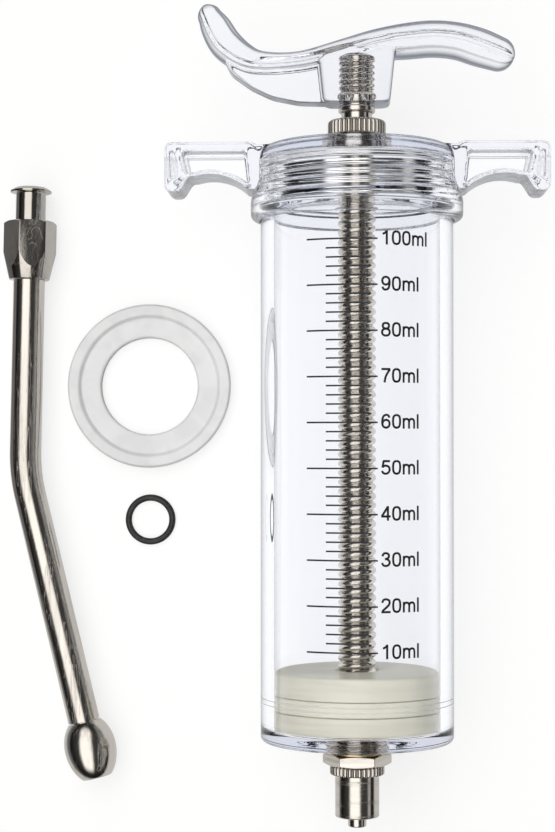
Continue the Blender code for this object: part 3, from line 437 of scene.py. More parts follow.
def moulded(mesh, voxel, smoothing):
    """Melt overlapping bodies into one moulded body with soft fillets."""
    melted = modified(mesh, "REMESH", mode="VOXEL", voxel_size=voxel)
    return modified(melted, "SMOOTH", factor=0.5, iterations=smoothing)


def grown(mesh, tree, **values):
    """Run a Geometry Nodes tree on a mesh, with its named inputs set, and keep the result."""
    sockets = {item.name: item.identifier for item in tree.interface.items_tree if item.in_out == "INPUT"}
    inputs = {sockets[labelled(name)]: value for name, value in values.items()}
    return modified(mesh, "NODES", inputs, node_group=tree)


def finished(name, mesh, material, body, nodes=(), place=None, sharp=38):
    """Lay a mesh in its place, on the syringe if no other is given, hang it on its body and hide the model's parts
    that it stands in for.
    """
    mesh.transform(place or syringe_place())
    mesh.name = name
    mesh.materials.clear()
    mesh.materials.append(material)
    mesh.shade_smooth()
    mesh.set_sharp_from_angle(angle=math.radians(sharp))
    piece = stood(name, mesh)
    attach(piece, body)
    if nodes:
        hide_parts(*nodes)


# ---------------------------------------------------------------- node trees


class Value:
    """One output of a node. Arithmetic with it adds the Math nodes that work it out."""

    def __init__(self, socket):
        self.socket = socket

    def __add__(self, other):
        return maths("ADD", self, other)

    def __sub__(self, other):
        return maths("SUBTRACT", self, other)

    def __rsub__(self, other):
        return maths("SUBTRACT", other, self)

    def __mul__(self, other):
        return maths("MULTIPLY", self, other)

    def __truediv__(self, other):
        return maths("DIVIDE", self, other)

    def __rtruediv__(self, other):
        return maths("DIVIDE", other, self)


def outputs(made):
    """A node's outputs by their names."""
    return {socket.name: Value(socket) for socket in made.outputs}


def put(socket, feed):
    """Feed an input with a node's first output, another output, a value or a plain number."""
    if isinstance(feed, bpy.types.Node):
        feed = feed.outputs[0]
    elif isinstance(feed, Value):
        feed = feed.socket
    if isinstance(feed, bpy.types.NodeSocket):
        socket.id_data.links.new(feed, socket)
    elif feed is not None:
        socket.default_value = (*feed, 1.0) if socket.type == "RGBA" else feed


def fill(made, feeds):
    """Feed a node's inputs by their names."""
    for name, feed in feeds.items():
        put(made.inputs[name], feed)
    return made


def node(tree, kind, *feeds, **settings):
    """Add a node, set it up and feed its inputs in their order."""
    made = tree.nodes.new(kind)
    for key, value in settings.items():
        setattr(made, key, value)
    for socket, feed in zip(made.inputs, feeds):
        put(socket, feed)
    return made


def maths(operation, *feeds):
    tree = next(feed.socket.id_data for feed in feeds if isinstance(feed, Value))
    return Value(node(tree, "ShaderNodeMath", *feeds, operation=operation).outputs[0])


def ramped(value, low, high, first=0.0, last=1.0):
    """Value mapped smoothly from one range to another."""
    made = node(value.socket.id_data, "ShaderNodeMapRange", value, low, high, first, last,
                interpolation_type="SMOOTHSTEP")
    return Value(made.outputs[0])


def vector(tree, *parts):
    return node(tree, "ShaderNodeCombineXYZ", *parts)


def split(tree, feed):
    """The three parts of a vector."""
    return [Value(part) for part in node(tree, "ShaderNodeSeparateXYZ", feed).outputs]


def labelled(name):
    """A name of the script as the node trees show it."""
    return name.replace("_", " ").title()


def shape_tree(name, **inputs):
    """Empty Geometry Nodes tree with named inputs, each with its default."""
    tree = bpy.data.node_groups.new(name, "GeometryNodeTree")
    tree.interface.new_socket("Geometry", in_out="OUTPUT", socket_type="NodeSocketGeometry")
    tree.interface.new_socket("Geometry", in_out="INPUT", socket_type="NodeSocketGeometry")
    for key, default in inputs.items():
        kind = "NodeSocketInt" if isinstance(default, int) else "NodeSocketFloat"
        tree.interface.new_socket(labelled(key), in_out="INPUT", socket_type=kind).default_value = default
    tree.interface.new_socket("Material", in_out="INPUT", socket_type="NodeSocketMaterial")
    return tree, outputs(tree.nodes.new("NodeGroupInput"))


def closed(tree, geometry, inputs):
    """End a tree: make its instances real and give them the material."""
    real = node(tree, "GeometryNodeRealizeInstances", geometry)
    painted = fill(node(tree, "GeometryNodeSetMaterial", real), {"Material": inputs["Material"]})
    node(tree, "NodeGroupOutput", painted)
    return tree


def polar(tree):
    """Position of each point, its distance from Z and its turn round Z."""
    x, y, z = split(tree, node(tree, "GeometryNodeInputPosition"))
    return x, y, z, maths("SQRT", x * x + y * y), maths("ARCTAN2", y, x) / math.tau


def arched(phase, power):
    """Row of equal arches, one for each whole step of the phase."""
    wave = maths("MAXIMUM", maths("SINE", maths("FRACT", phase) * math.pi), 0.0)
    return maths("POWER", wave, power)


def carved(tree, inputs, x, y, z, radius, push, groove):
    """Move each point away from the axis, note how deep in a groove it lies, and end the tree."""
    grow = push / maths("MAXIMUM", radius, 0.01) + 1.0
    moved = node(tree, "GeometryNodeSetPosition", inputs["Geometry"], None, vector(tree, x * grow, y * grow, z))
    # The groove depth is kept as an attribute, and the metal material paints shade into the grooves with it
    marked = node(tree, "GeometryNodeStoreNamedAttribute", moved, None, "groove", groove, data_type="FLOAT")
    return closed(tree, marked, inputs)


def thread_tree():
    """Cut or raise a right-hand thread on the upright wall at a radius.

    The bead's shape runs from a sharp crest to a full round cord as its power falls.
    Sunk is 1 where the wall is the thread's crest and 0 where it is the root.
    """
    if "screw_thread" in bpy.data.node_groups:
        return bpy.data.node_groups["screw_thread"]
    tree, inputs = shape_tree("screw_thread", radius=4.0, pitch=2.0, height=0.5, bead_power=0.7, sunk=1.0,
                              start=0.0, end=10.0, run_out=1.0)
    x, y, z, radius, turn = polar(tree)
    bead = arched(z / inputs["Pitch"] - turn, inputs["Bead Power"])
    begin = ramped(z, inputs["Start"], inputs["Start"] + inputs["Run Out"])
    stop = ramped(z, inputs["End"] - inputs["Run Out"], inputs["End"], 1.0, 0.0)
    near = maths("LESS_THAN", maths("ABSOLUTE", radius - inputs["Radius"]), ON_WALL)
    mask = begin * stop * near
    push = (bead - inputs["Sunk"]) * inputs["Height"] * mask
    return carved(tree, inputs, x, y, z, radius, push, (1.0 - bead) * mask)


def flute_tree():
    """Cut even rounded flutes into everything near a disc's edge."""
    if "edge_flutes" in bpy.data.node_groups:
        return bpy.data.node_groups["edge_flutes"]
    tree, inputs = shape_tree("edge_flutes", radius=6.0, flutes=36.0, depth=0.4, reach=0.9, ridge=0.7)
    x, y, z, radius, turn = polar(tree)
    groove = 1.0 - arched(turn * inputs["Flutes"], inputs["Ridge"])
    groove *= ramped(radius, inputs["Radius"] - inputs["Reach"], inputs["Radius"])
    return carved(tree, inputs, x, y, z, radius, groove * (inputs["Depth"] * -1.0), groove)


def scale_tree():
    """Repeat the scale's lines, join them to the flat labels and bend all of it round the barrel."""
    tree, inputs = shape_tree("printed_scale", marks=46, first=20.0, step=2.0, long=15.0, short=9.0,
                              middle=-3.0, short_shift=1.0, width=0.25, ink=0.04, radius=21.0)
    index = Value(node(tree, "GeometryNodeInputIndex").outputs[0])
    fifth = maths("LESS_THAN", maths("MODULO", index, 5.0), 0.5)
    first, step = vector(tree, 0.0, inputs["First"], 0.0), vector(tree, 0.0, inputs["Step"], 0.0)
    row = node(tree, "GeometryNodeMeshLine", inputs["Marks"], None, first, step)
    reach = inputs["Short"] + (inputs["Long"] - inputs["Short"]) * fifth
    slide = inputs["Middle"] + (1.0 - fifth) * inputs["Short Shift"]
    placed = node(tree, "GeometryNodeSetPosition", row, None, None, vector(tree, slide, 0.0, 0.0))
    bar = node(tree, "GeometryNodeMeshCube", vector(tree, 1.0, inputs["Width"], inputs["Ink"]), 14, 2, 2)
    bars = node(tree, "GeometryNodeInstanceOnPoints", placed, None, bar)
    fill(bars, {"Scale": vector(tree, reach, 1.0, 1.0)})
    both = node(tree, "GeometryNodeJoinGeometry")
    for part in (inputs["Geometry"], node(tree, "GeometryNodeRealizeInstances", bars)):
        put(both.inputs[0], part)
    x, y, z = split(tree, node(tree, "GeometryNodeInputPosition"))
    angle = x / inputs["Radius"]
    radius = z + (inputs["Radius"] + inputs["Ink"] * 0.6)
    bent = vector(tree, radius * maths("SINE", angle), radius * maths("COSINE", angle) * -1.0, y)
    return closed(tree, node(tree, "GeometryNodeSetPosition", both, None, bent), inputs)


# ---------------------------------------------------------------- finishes


def wear_group():
    """What handling leaves on a surface: smudges, thin scratches and a fine grain."""
    if "handling_wear" in bpy.data.node_groups:
        return bpy.data.node_groups["handling_wear"]
    tree = bpy.data.node_groups.new("handling_wear", "ShaderNodeTree")
    tree.interface.new_socket("Vector", in_out="INPUT", socket_type="NodeSocketVector")
    for label in ("Smudge Size", "Scratch Size", "Grain Size"):
        tree.interface.new_socket(label, in_out="INPUT", socket_type="NodeSocketFloat")
    for label in ("Smudges", "Scratches", "Grain"):
        tree.interface.new_socket(label, in_out="OUTPUT", socket_type="NodeSocketFloat")
    inputs = outputs(tree.nodes.new("NodeGroupInput"))

    def noise(size, detail, distortion):
        return Value(fill(node(tree, "ShaderNodeTexNoise"), {
            "Vector": inputs["Vector"], "Scale": 1.0 / inputs[size], "Detail": detail, "Distortion": distortion,
        }).outputs[0])

    smudges = ramped(noise("Smudge Size", 3.0, 0.6), 0.42, 0.68)
    line = maths("ABSOLUTE", noise("Scratch Size", 2.0, 1.4) - 0.5)
    patches = ramped(noise("Smudge Size", 2.0, 0.0), 0.45, 0.62)
    scratches = ramped(line, 0.0, 0.014, 1.0, 0.0) * patches
    node(tree, "NodeGroupOutput", smudges, scratches, noise("Grain Size", 4.0, 0.0))
    return tree


def fresh_material(name):
    material = bpy.data.materials.new(name)
    material.use_nodes = True
    return material, material.node_tree, material.node_tree.nodes["Principled BSDF"]


def worn(tree, stretch, smudge=0.006, scratch=0.003, grain=0.0003):
    """Place the wear group on the piece's own coordinates, stretched along its grain."""
    coordinates = node(tree, "ShaderNodeTexCoord").outputs["Object"]
    mapping = fill(node(tree, "ShaderNodeMapping", coordinates), {"Scale": stretch})
    return outputs(node(tree, "ShaderNodeGroup", mapping, smudge, scratch, grain, node_tree=wear_group()))


def mixed(factor, first, second):
    made = node(factor.socket.id_data, "ShaderNodeMix", data_type="RGBA")
    for key, feed in (("Factor", factor), (6, first), (7, second)):
        put(made.inputs[key], feed)
    return made.outputs[2]


def bumped(shader, height, distance):
    bump = fill(node(shader.id_data, "ShaderNodeBump"), {"Strength": 1.0, "Distance": distance, "Height": height})
    put(shader.inputs["Normal"], bump)


def dimmed(base, part):
    return tuple(value * part for value in base)


def metal(name, bright, dull, stretch, roughness, grain=0.0003):
    """Plated or bare metal: turning or drawing marks, smudges, scratches and painted shade darkening its grooves.
    """
    if name in bpy.data.materials:
        return bpy.data.materials[name]
    material, tree, shader = fresh_material(name)
    wear = worn(tree, stretch, grain=grain)
    groove = outputs(node(tree, "ShaderNodeAttribute", attribute_name="groove"))["Fac"]
    # Colour mix: smudges are real wear, and the groove depth paints shade into thread roots and flutes
    smudges_and_groove_shade = maths("MAXIMUM", groove * 0.75, wear["Smudges"] * 0.22)
    rough = wear["Smudges"] * 0.07 + roughness + wear["Scratches"] * 0.16 + groove * 0.12
    fill(shader, {"Base Color": mixed(smudges_and_groove_shade, bright, dull), "Roughness": rough, "Metallic": 1.0})
    bumped(shader, wear["Grain"] - wear["Scratches"], 0.00001)
    return material


def turned_nickel(finish):
    """Marks run round the syringe's axis, which lies along Y."""
    return metal("turned_nickel", finish.nickel, finish.nickel_dark, (0.25, 4.0, 0.25), 0.13)


def drawn_nickel(finish):
    """Marks run along the nozzle."""
    return metal("drawn_nickel", finish.nickel, finish.nickel_dark, (3.0, 0.12, 3.0), 0.12)


def ground_nickel(finish):
    """Nickel of the nozzle's socket, its colour dimmed to 0.78 of the plate's, with a coarser grain."""
    return metal("ground_nickel", dimmed(finish.nickel, 0.78), finish.nickel_dark, (1.0, 0.7, 1.0), 0.1, 0.0005)


def clear_plastic(finish, name="clear_moulding", shade_start=0.58, shade_end=0.9, shade=0.97):
    """Clear moulded plastic: bluish in its depth, with painted shade darkening it where seen edgewise, faintly
    rippled and scratched.

    Lamps shine through it, which is what its Transparent shader is for.
    """
    if name in bpy.data.materials:
        return bpy.data.materials[name]
    material, tree, shader = fresh_material(name)
    wear = worn(tree, (1.0, 0.5, 1.0), smudge=0.012, scratch=0.005, grain=0.004)
    # Painted shade: where the surface is seen edgewise its colour turns near black, in place of the dark lines
    # refraction would show
    edge = ramped(outputs(node(tree, "ShaderNodeLayerWeight"))["Facing"], shade_start, shade_end)
    fill(shader, {
        "Base Color": mixed(edge, dimmed(finish.clear, shade), finish.edgewise_shade),
        "Transmission Weight": 1.0,
        "IOR": 1.5,
        "Specular Tint": (0.12, 0.12, 0.12),
        "Roughness": wear["Scratches"] * 0.05,
    })
    bumped(shader, wear["Grain"], 0.000003)
    through = node(tree, "ShaderNodeBsdfTransparent", (0.97, 0.975, 0.985))
    lit = node(tree, "ShaderNodeLightPath").outputs["Is Shadow Ray"]
    both = node(tree, "ShaderNodeMixShader", lit, shader, through)
    depth = node(tree, "ShaderNodeVolumeAbsorption", finish.clear_depth, finish.clear_density)
    fill(tree.nodes["Material Output"], {"Surface": both, "Volume": depth})
    return material


def dull_surface(name, base, smudged, roughness, wear_sizes, bump, stretch=(1.0, 1.0, 1.0),
                 uneven=("Grain", 0.3, 0.7), **depth):
    """Nylon, silicone, rubber or ink: smudged, of uneven sheen and, with depth, lit from inside at thin edges."""
    if name in bpy.data.materials:
        return bpy.data.materials[name]
    material, tree, shader = fresh_material(name)
    wear = worn(tree, stretch, *wear_sizes)
    mark, low, high = uneven
    fill(shader, {
        "Base Color": mixed(wear["Smudges"], base, smudged),
        "Roughness": ramped(wear[mark], low, high, *roughness),
    })
    fill(shader, {"Subsurface " + key.title(): value for key, value in depth.items()})
    if bump:
        bumped(shader, wear["Grain"], bump)
    return material


def cream_nylon(finish):
    return dull_surface("moulded_nylon", finish.nylon, dimmed(finish.nylon, 0.9), (0.32, 0.46),
                        (0.008, 0.004, 0.0004), 0.00003, (0.3, 3.0, 0.3), ("Smudges", 0.0, 1.0),
                        weight=0.25, radius=(1.0, 0.85, 0.6), scale=0.0015)


def soft_seal(name, base, roughness):
    """Silicone: milky, slightly see-through at its thin edges, with a dusty sheen."""
    return dull_surface(name, base, dimmed(base, 0.93), roughness, (0.007, 0.006, 0.0008), 0.00003,
                        weight=0.4, radius=(1.0, 1.0, 1.05), scale=0.002)


def milky_silicone(finish):
    return soft_seal("milky_silicone", finish.spare_seal, (0.3, 0.44))


def black_rubber(finish):
    return dull_surface("dusty_rubber", finish.rubber, (0.03, 0.03, 0.032), (0.36, 0.5),
                        (0.002, 0.002, 0.0002), 0.00002)


def printing_ink(finish):
    return dull_surface("printing_ink", finish.ink, (0.012, 0.012, 0.012), (0.35, 0.55),
                        (0.004, 0.002, 0.0002), 0.0)


# ---------------------------------------------------------------- pieces


def make_barrel(context):
    s, finish = chosen(context, "barrel")
    clear = clear_plastic(finish, "clear_tube", 0.6, 1.0, 1.0)
    stem = 4.15
    outline = rounded((
        (stem, -s.boss_height, 0), (s.boss_radius, -s.boss_height, 0.6), (s.boss_radius, 0, 0.9),
        (s.outer_radius, 0, 1.2), (s.outer_radius, s.shoulder, 0.5), (s.neck_radius, s.shoulder, 0.3),
        (s.neck_radius, s.height, 0.5), (s.bore_radius, s.height, 0.3), (s.bore_radius, s.floor, 0.8),
        (stem, s.floor, 0),
    ))
    mesh = turned(finer(outline, s.neck_radius, s.shoulder, s.height, CAP_THREAD_ROWS), 160)
    mesh = grown(mesh, thread_tree(), material=clear, radius=s.neck_radius, pitch=s.thread_pitch,
                 height=s.thread_height, sunk=0.0, start=s.shoulder + 0.3, end=s.height - 0.2, **CAP_THREAD)
    finished("clear_barrel", mesh, clear, "barrel", ["barrel"])


# Middle lines of the figures, in thousandths of an em: width of the figure, then its strokes. A stroke
# of two points is straight, and one of more points is curved.
FIGURES = {
    "0": (556, (((278, 672), (130, 600), (88, 358), (130, 115), (278, 42), (426, 115), (468, 358),
        (426, 600), (278, 672)),)),
    "1": (556, (((328, 0), (328, 716)), ((330, 680), (250, 590), (115, 525)))),
    "2": (556, (((80, 500), (140, 635), (280, 672), (420, 620), (458, 500), (400, 370), (250, 235),
        (130, 130), (90, 45)), ((35, 43), (505, 43)))),
    "3": (556, (((85, 520), (150, 640), (265, 672), (390, 625), (425, 520), (360, 410), (220, 382)),
        ((220, 382), (380, 345), (462, 210), (400, 85), (262, 42), (130, 85), (75, 200)))),
    "4": (556, (((372, 0), (372, 716)), ((375, 700), (55, 200)), ((35, 208), (515, 208)))),
    "5": (556, (((150, 662), (485, 662)), ((165, 700), (95, 340)), ((100, 355), (170, 420), (280, 438),
        (415, 380), (464, 240), (400, 100), (262, 42), (130, 85), (72, 185)))),
    "6": (556, (((455, 530), (400, 640), (280, 672), (140, 590), (86, 330), (125, 120), (275, 42),
        (420, 105), (462, 240), (410, 375), (280, 425), (150, 370), (95, 250)),)),
    "7": (556, (((45, 660), (505, 660)), ((490, 645), (360, 470), (255, 250), (205, 0)))),
    "8": (556, (((278, 672), (155, 630), (118, 530), (160, 430), (278, 388), (396, 430), (438, 530),
        (400, 630), (278, 672)), ((278, 388), (130, 335), (82, 215), (130, 90), (278, 42), (426, 90),
        (474, 215), (426, 335), (278, 388)))),
    "9": (556, (((101, 186), (156, 76), (276, 44), (416, 126), (470, 386), (431, 596), (281, 674),
        (136, 611), (94, 476), (146, 341), (276, 291), (406, 346), (461, 466)),)),
    "m": (833, (((110, 0), (110, 519)), ((110, 330), (160, 445), (270, 478), (375, 440), (416, 330),
        (416, 160), (416, 0)), ((416, 330), (466, 445), (576, 478), (681, 440), (722, 330), (722, 160),
        (722, 0)))),
    "l": (222, (((110, 0), (110, 716)),)),
}
# Height of a figure in the same units
DIGIT_RISE = 716


def between(before, first, second, after, part):
    """Point on the smooth curve through four stations, between the second and the third."""
    return 0.5 * (
        2 * first
        + (second - before) * part
        + (2 * before - 5 * first + 4 * second - after) * part ** 2
        + (3 * first - before - 3 * second + after) * part ** 3
    )


def smooth_path(stations, steps):
    """Smooth curve through stations, with so many steps from each to the next."""
    path = []
    with_ends = [stations[0], *stations, stations[-1]]
    for index in range(len(stations) - 1):
        path += [between(*with_ends[index:index + 4], step / steps) for step in range(steps)]
    return path + [stations[-1]]


def direction(path, index):
    """Way that a flat path runs at one of its points."""
    return (path[min(index + 1, len(path) - 1)].xy - path[max(index - 1, 0)].xy).normalized()


def inked_stroke(points, width):
    """Flat solid stroke along its middle line, one unit thick. Three points or more make a curve."""
    path = [Vector(point) for point in points]
    if len(path) > 2:
        path = smooth_path(path, 4)
    rings = []
    for index, point in enumerate(path):
        along = direction(path, index)
        side = Vector((-along.y, along.x)) * width / 2
        left, right = point + side, point - side
        rings.append([(*left, -0.5), (*right, -0.5), (*right, 0.5), (*left, 0.5)])
    return skinned(rings)


def make_scale(context):
    s, finish = chosen(context, "scale")
    barrel, ink = chosen(context, "barrel")[0], printing_ink(finish)
    unit, below_mark = s.digit_height / DIGIT_RISE, 0.42 * s.digit_height
    strokes = []
    for step in range(10):
        pen = s.label_start
        rise = s.first_mark + 5 * step * s.mark_step - below_mark
        for letter in f"{10 * (step + 1)}ml":
            advance, lines = FIGURES[letter]
            for points in lines:
                stroke = inked_stroke(points, s.stroke / unit)
                stroke.transform(Matrix.Translation((pen, rise, 0)) @ Matrix.Diagonal((unit, unit, s.ink, 1)))
                strokes.append(stroke)
            pen += advance * unit
    mesh = grown(joined(*strokes), scale_tree(), material=ink, marks=46, first=s.first_mark, step=s.mark_step,
                 long=s.long_mark, short=s.short_mark, middle=s.mark_middle, short_shift=s.short_shift,
                 width=s.line_width, ink=s.ink, radius=barrel.outer_radius)
    finished("printed_scale", mesh, ink, "barrel", sharp=30)


def finger_arch(s, grow, start, end, steps):
    """Arch in which a finger lies under a wing, or a line that runs round it."""
    radius, crest, inset = 11.35, 6.95, 9.95
    return arc(s.wing_reach - inset, s.top - crest - radius, radius + grow, start, end, steps)


def wing_outline(s):
    """Side of the right wing: flat top, round tip, lobe and the arch that a finger lies in."""
    root = 18.0
    foot = s.top - s.wing_height
    arch = finger_arch(s, 0, 72, 135, 24)
    corners = (
        (root, arch[-1].y, 0),
        (root, s.top - 0.5, 0),
        (s.radius, s.top - 0.5, 0),
        (s.radius + 1.0, s.top, 1.0),
        (s.wing_reach, s.top, 1.6),
        (s.wing_reach, foot, 2.3),
        (s.wing_reach - 3.3, foot, 1.5),
        (arch[0].x + 1.0, arch[0].y + 0.1, 1.6),
        (arch[0].x, arch[0].y, 0),
    )
    return rounded(corners) + arch[1:]


def wing_hollows(s):
    """Outlines of the long pocket inside the right wing's flanges and of the small one in its end."""
    top = s.top - 2.0
    arch = finger_arch(s, 0.95, 66, 131, 20)
    pocket = rounded((
        (arch[-1].x - 0.6, arch[-1].y - 0.4, 0),
        (s.radius + 2.1, top, 0.6),
        (s.wing_reach - 3.7, top, 0.6),
        (arch[0].x, arch[0].y, 0),
    )) + arch[1:-1]
    facet = rounded((
        (s.wing_reach - 1.1, s.top - 1.5, 0.4),
        (s.wing_reach - 2.3, s.top - 2.2, 0.4),
        (s.wing_reach - 3.0, s.top - 7.4, 0.4),
        (s.wing_reach - 1.4, s.top - 8.6, 0.4),
    ))
    return pocket, facet


def make_wing(s, side):
    """One wing, hollow from both faces down to its web. Side is 1 for the right wing and -1 for the left."""
    facet_depth = 5.6

    def slab(outline, start, end):
        return prism([(side * x, z) for x, z in outline], start, end, "XZ")

    wing = slab(wing_outline(s), -s.wing_depth / 2, s.wing_depth / 2)
    pocket, facet = wing_hollows(s)
    for face in (-1, 1):
        wing = combined(wing, slab(pocket, face * s.wing_web / 2, face * s.wing_depth), "DIFFERENCE")
        wing = combined(wing, slab(facet, face * facet_depth, face * s.wing_depth), "DIFFERENCE")
    return wing


def make_cap(context):
    s, finish = chosen(context, "cap")
    barrel, clear = chosen(context, "barrel")[0], clear_plastic(finish)
    shell = rounded((
        (0, s.foot, 0),
        (s.rim_radius, s.foot, 1.5),
        (s.rim_radius, s.foot + 4.6, 3.0),
        (s.radius, s.foot + 8.7, 4.0),
        (s.radius, s.top, 3.5),
        (0, s.top, 0),
    ))
    outside = moulded(joined(turned(shell, 160), make_wing(s, 1), make_wing(s, -1)), 0.33, 5)
    hub = s.bush_radius - 0.1
    inside = rounded((
        (0, s.foot - 1, 0),
        (s.skirt_radius, s.foot - 1, 0),
        (s.skirt_radius, barrel.shoulder + 0.1, 0.2),
        (s.bore_radius, barrel.shoulder + 0.1, 0),
        (s.bore_radius, s.ceiling, 0.4),
        (hub, s.ceiling, 0.2),
        (hub, s.top + 1, 0),
        (0, s.top + 1, 0),
    ))
    tool = turned(finer(inside, s.bore_radius, barrel.shoulder, s.ceiling, CAP_THREAD_ROWS), 160)
    tool = grown(tool, thread_tree(), material=clear, radius=s.bore_radius, pitch=barrel.thread_pitch,
                 height=barrel.thread_height, sunk=1.0, start=barrel.shoulder + 0.2, end=s.ceiling - 0.4,
                 **CAP_THREAD)
    finished("winged_cap", combined(outside, tool, "DIFFERENCE"), clear, "cap", ["cap"])
    hole, foot, collar = 4.3, s.top + 0.1, s.bush_radius + 0.5
    bush = rounded((
        (hole, s.ceiling + 0.1, 0.2), (s.bush_radius, s.ceiling + 0.1, 0.2), (s.bush_radius, foot, 0),
        (collar, foot, 0.2), (collar, foot + 2.0, 0.5), (hole, foot + 2.0, 0.2),
    ))
    finished("guide_bush", turned(bush), turned_nickel(finish), "cap", ["cap_bush"])
    gasket = band(barrel.bore_radius + 0.1, 19.9, barrel.height + 0.1, s.ceiling - 0.1, (0.3, 0.3, 0.3, 0.3), 3)
    finished("cap_seal_ring", turned(gasket, 128), milky_silicone(finish), "cap_carrier", ["cap_gasket"])


def make_piston(context):
    s, finish = chosen(context, "plunger")
    nylon = cream_nylon(finish)
    wide, hole, spigot, recess, cup = s.disc_radius, 3.05, 11.0, 7.0, 4.3
    upper = rounded((
        (hole, 7.3, 0), (spigot, 7.3, 0.2), (spigot, 10.55, 0), (wide, 10.55, 0.35), (wide, 15.5, 0.6),
        (4.9, 15.5, 0.3), (cup, 14.9, 0), (cup, 12.0, 0), (hole, 12.0, 0),
    ))
    finished("upper_disc", turned(upper, 128), nylon, "plunger", ["piston_top"])
    lower = rounded((
        (recess, 2.9, 0.3), (wide, 2.9, 1.0), (wide, 7.1, 0.35), (hole, 7.1, 0), (hole, 5.65, 0),
        (recess, 5.65, 0),
    ))
    finished("lower_disc", turned(lower, 128), nylon, "plunger", ["piston_base"])
    seal, inner = s.seal_radius, spigot + 0.15
    ring = rounded((
        (inner, 7.2, 0.2), (wide, 7.2, 0.5), (wide, 8.1, 0.1), (seal, 8.25, 0.1), (seal, 8.4, 0.1),
        (wide, 8.55, 0.1), (wide, 9.2, 0.1), (seal, 9.35, 0.1), (seal, 9.5, 0.1), (wide, 9.65, 0.1),
        (wide, 10.45, 0.5), (inner, 10.45, 0.2),
    ))
    silicone = soft_seal("working_silicone", finish.working_seal, (0.36, 0.5))
    finished("working_seal", turned(ring, 128), silicone, "plunger", ["piston_seal"])
    finished("rod_seal_ring", turned(arc(5.05, 13.6, 0.75, 0, 345, 23)), black_rubber(finish), "plunger",
             ["rod_oring"])


def make_rod(context):
    s, finish = chosen(context, "plunger")
    nickel = turned_nickel(finish)
    foot, seat, head, collar, end = 3.1, 12.1, 135.9, 137.55, 148.8
    outline = rounded((
        (0, foot, 0), (2.95, foot, 0.4), (2.95, seat, 0), (s.rod_radius, seat, 0.3), (s.rod_radius, head, 0.3),
        (3.4, 136.3, 0.2), (3.4, collar, 0), (2.6, collar, 0), (2.6, end, 0.4), (0, end, 0),
    ))
    mesh = turned(finer(outline, s.rod_radius, seat - 0.1, head + 0.1, 0.17), 56)
    mesh = grown(mesh, thread_tree(), material=nickel, radius=s.rod_radius, pitch=s.rod_pitch,
                 height=s.rod_thread, bead_power=0.75, sunk=1.0, start=14.6, end=135.6, run_out=1.2)
    finished("threaded_rod", mesh, nickel, "rod", ["rod"])
    hole = 3.05
    washer = band(hole, 6.4, 5.05, 5.55, (0.1, 0.1, 0.1, 0.1), 2)
    finished("end_washer", turned(washer, 64), nickel, "rod", ["rod_washer"])
    drill = turned([Vector(corner) for corner in ((hole, 2), (hole, 6), (0, 6), (0, 2))], 48)
    nut = combined(prism(hexagon(9.0), 3.05, 4.95), drill, "DIFFERENCE")
    finished("end_nut", bevelled(nut, 0.15), nickel, "rod", ["rod_nut"])


def fluted(outline, radius, flutes, step, material, depth, reach):
    """Ring with even flutes round its edge."""
    mesh = turned(finer(outline, radius, outline[0].y - 1, outline[-1].y + 1, step), flutes * 8)
    return grown(mesh, flute_tree(), material=material, radius=radius, flutes=float(flutes), depth=depth,
                 reach=reach, ridge=0.8)


def make_stop_nut(context):
    s, finish = chosen(context, "plunger")
    nickel = turned_nickel(finish)
    outline = band(4.3, s.nut_radius, 132.7, 136.05, (0.2, 0.35, 0.9, 0.3), 5)
    mesh = fluted(outline, s.nut_radius, s.nut_flutes, 0.4, nickel, depth=0.42, reach=1.3)
    finished("stop_nut", mesh, nickel, "dose_nut", ["dose_nut"], sharp=50)


# Middle line of the handle's bar: along X, height over the boss's foot, half thickness, half depth
HANDLE_BAR = (
    (-32.3, 19.5, 2.75, 4.6), (-31.0, 17.2, 3.45, 5.0), (-28.7, 13.5, 3.65, 5.4), (-24.7, 10.4, 3.15, 5.8),
    (-20.3, 9.2, 2.45, 6.0), (-12.4, 9.5, 2.1, 6.2), (-3.1, 11.7, 2.5, 6.3), (3.7, 13.1, 3.15, 6.3),
    (10.5, 13.9, 3.75, 6.2), (16.6, 14.4, 3.85, 6.0), (22.0, 13.9, 3.9, 5.8), (26.8, 12.5, 4.05, 5.4),
    (31.0, 11.0, 3.7, 4.8),
)
# Outline of the web under the left blade: along X, height over the boss's foot, corner radius
HANDLE_WEB = (
    (-29.6, 13.6, 0.0), (-28.6, 7.4, 6.0), (-23.2, 3.6, 9.0), (-18.6, 1.4, 12.0), (-12.6, 0.2, 14.0),
    (-5.0, 0.0, 0.0), (-5.0, 11.0, 0.0), (-13.0, 9.3, 0.0), (-20.3, 9.0, 0.0), (-26.0, 11.4, 0.0),
)


def held(value):
    """Value kept between 0 and 1."""
    return min(1.0, max(0.0, value))


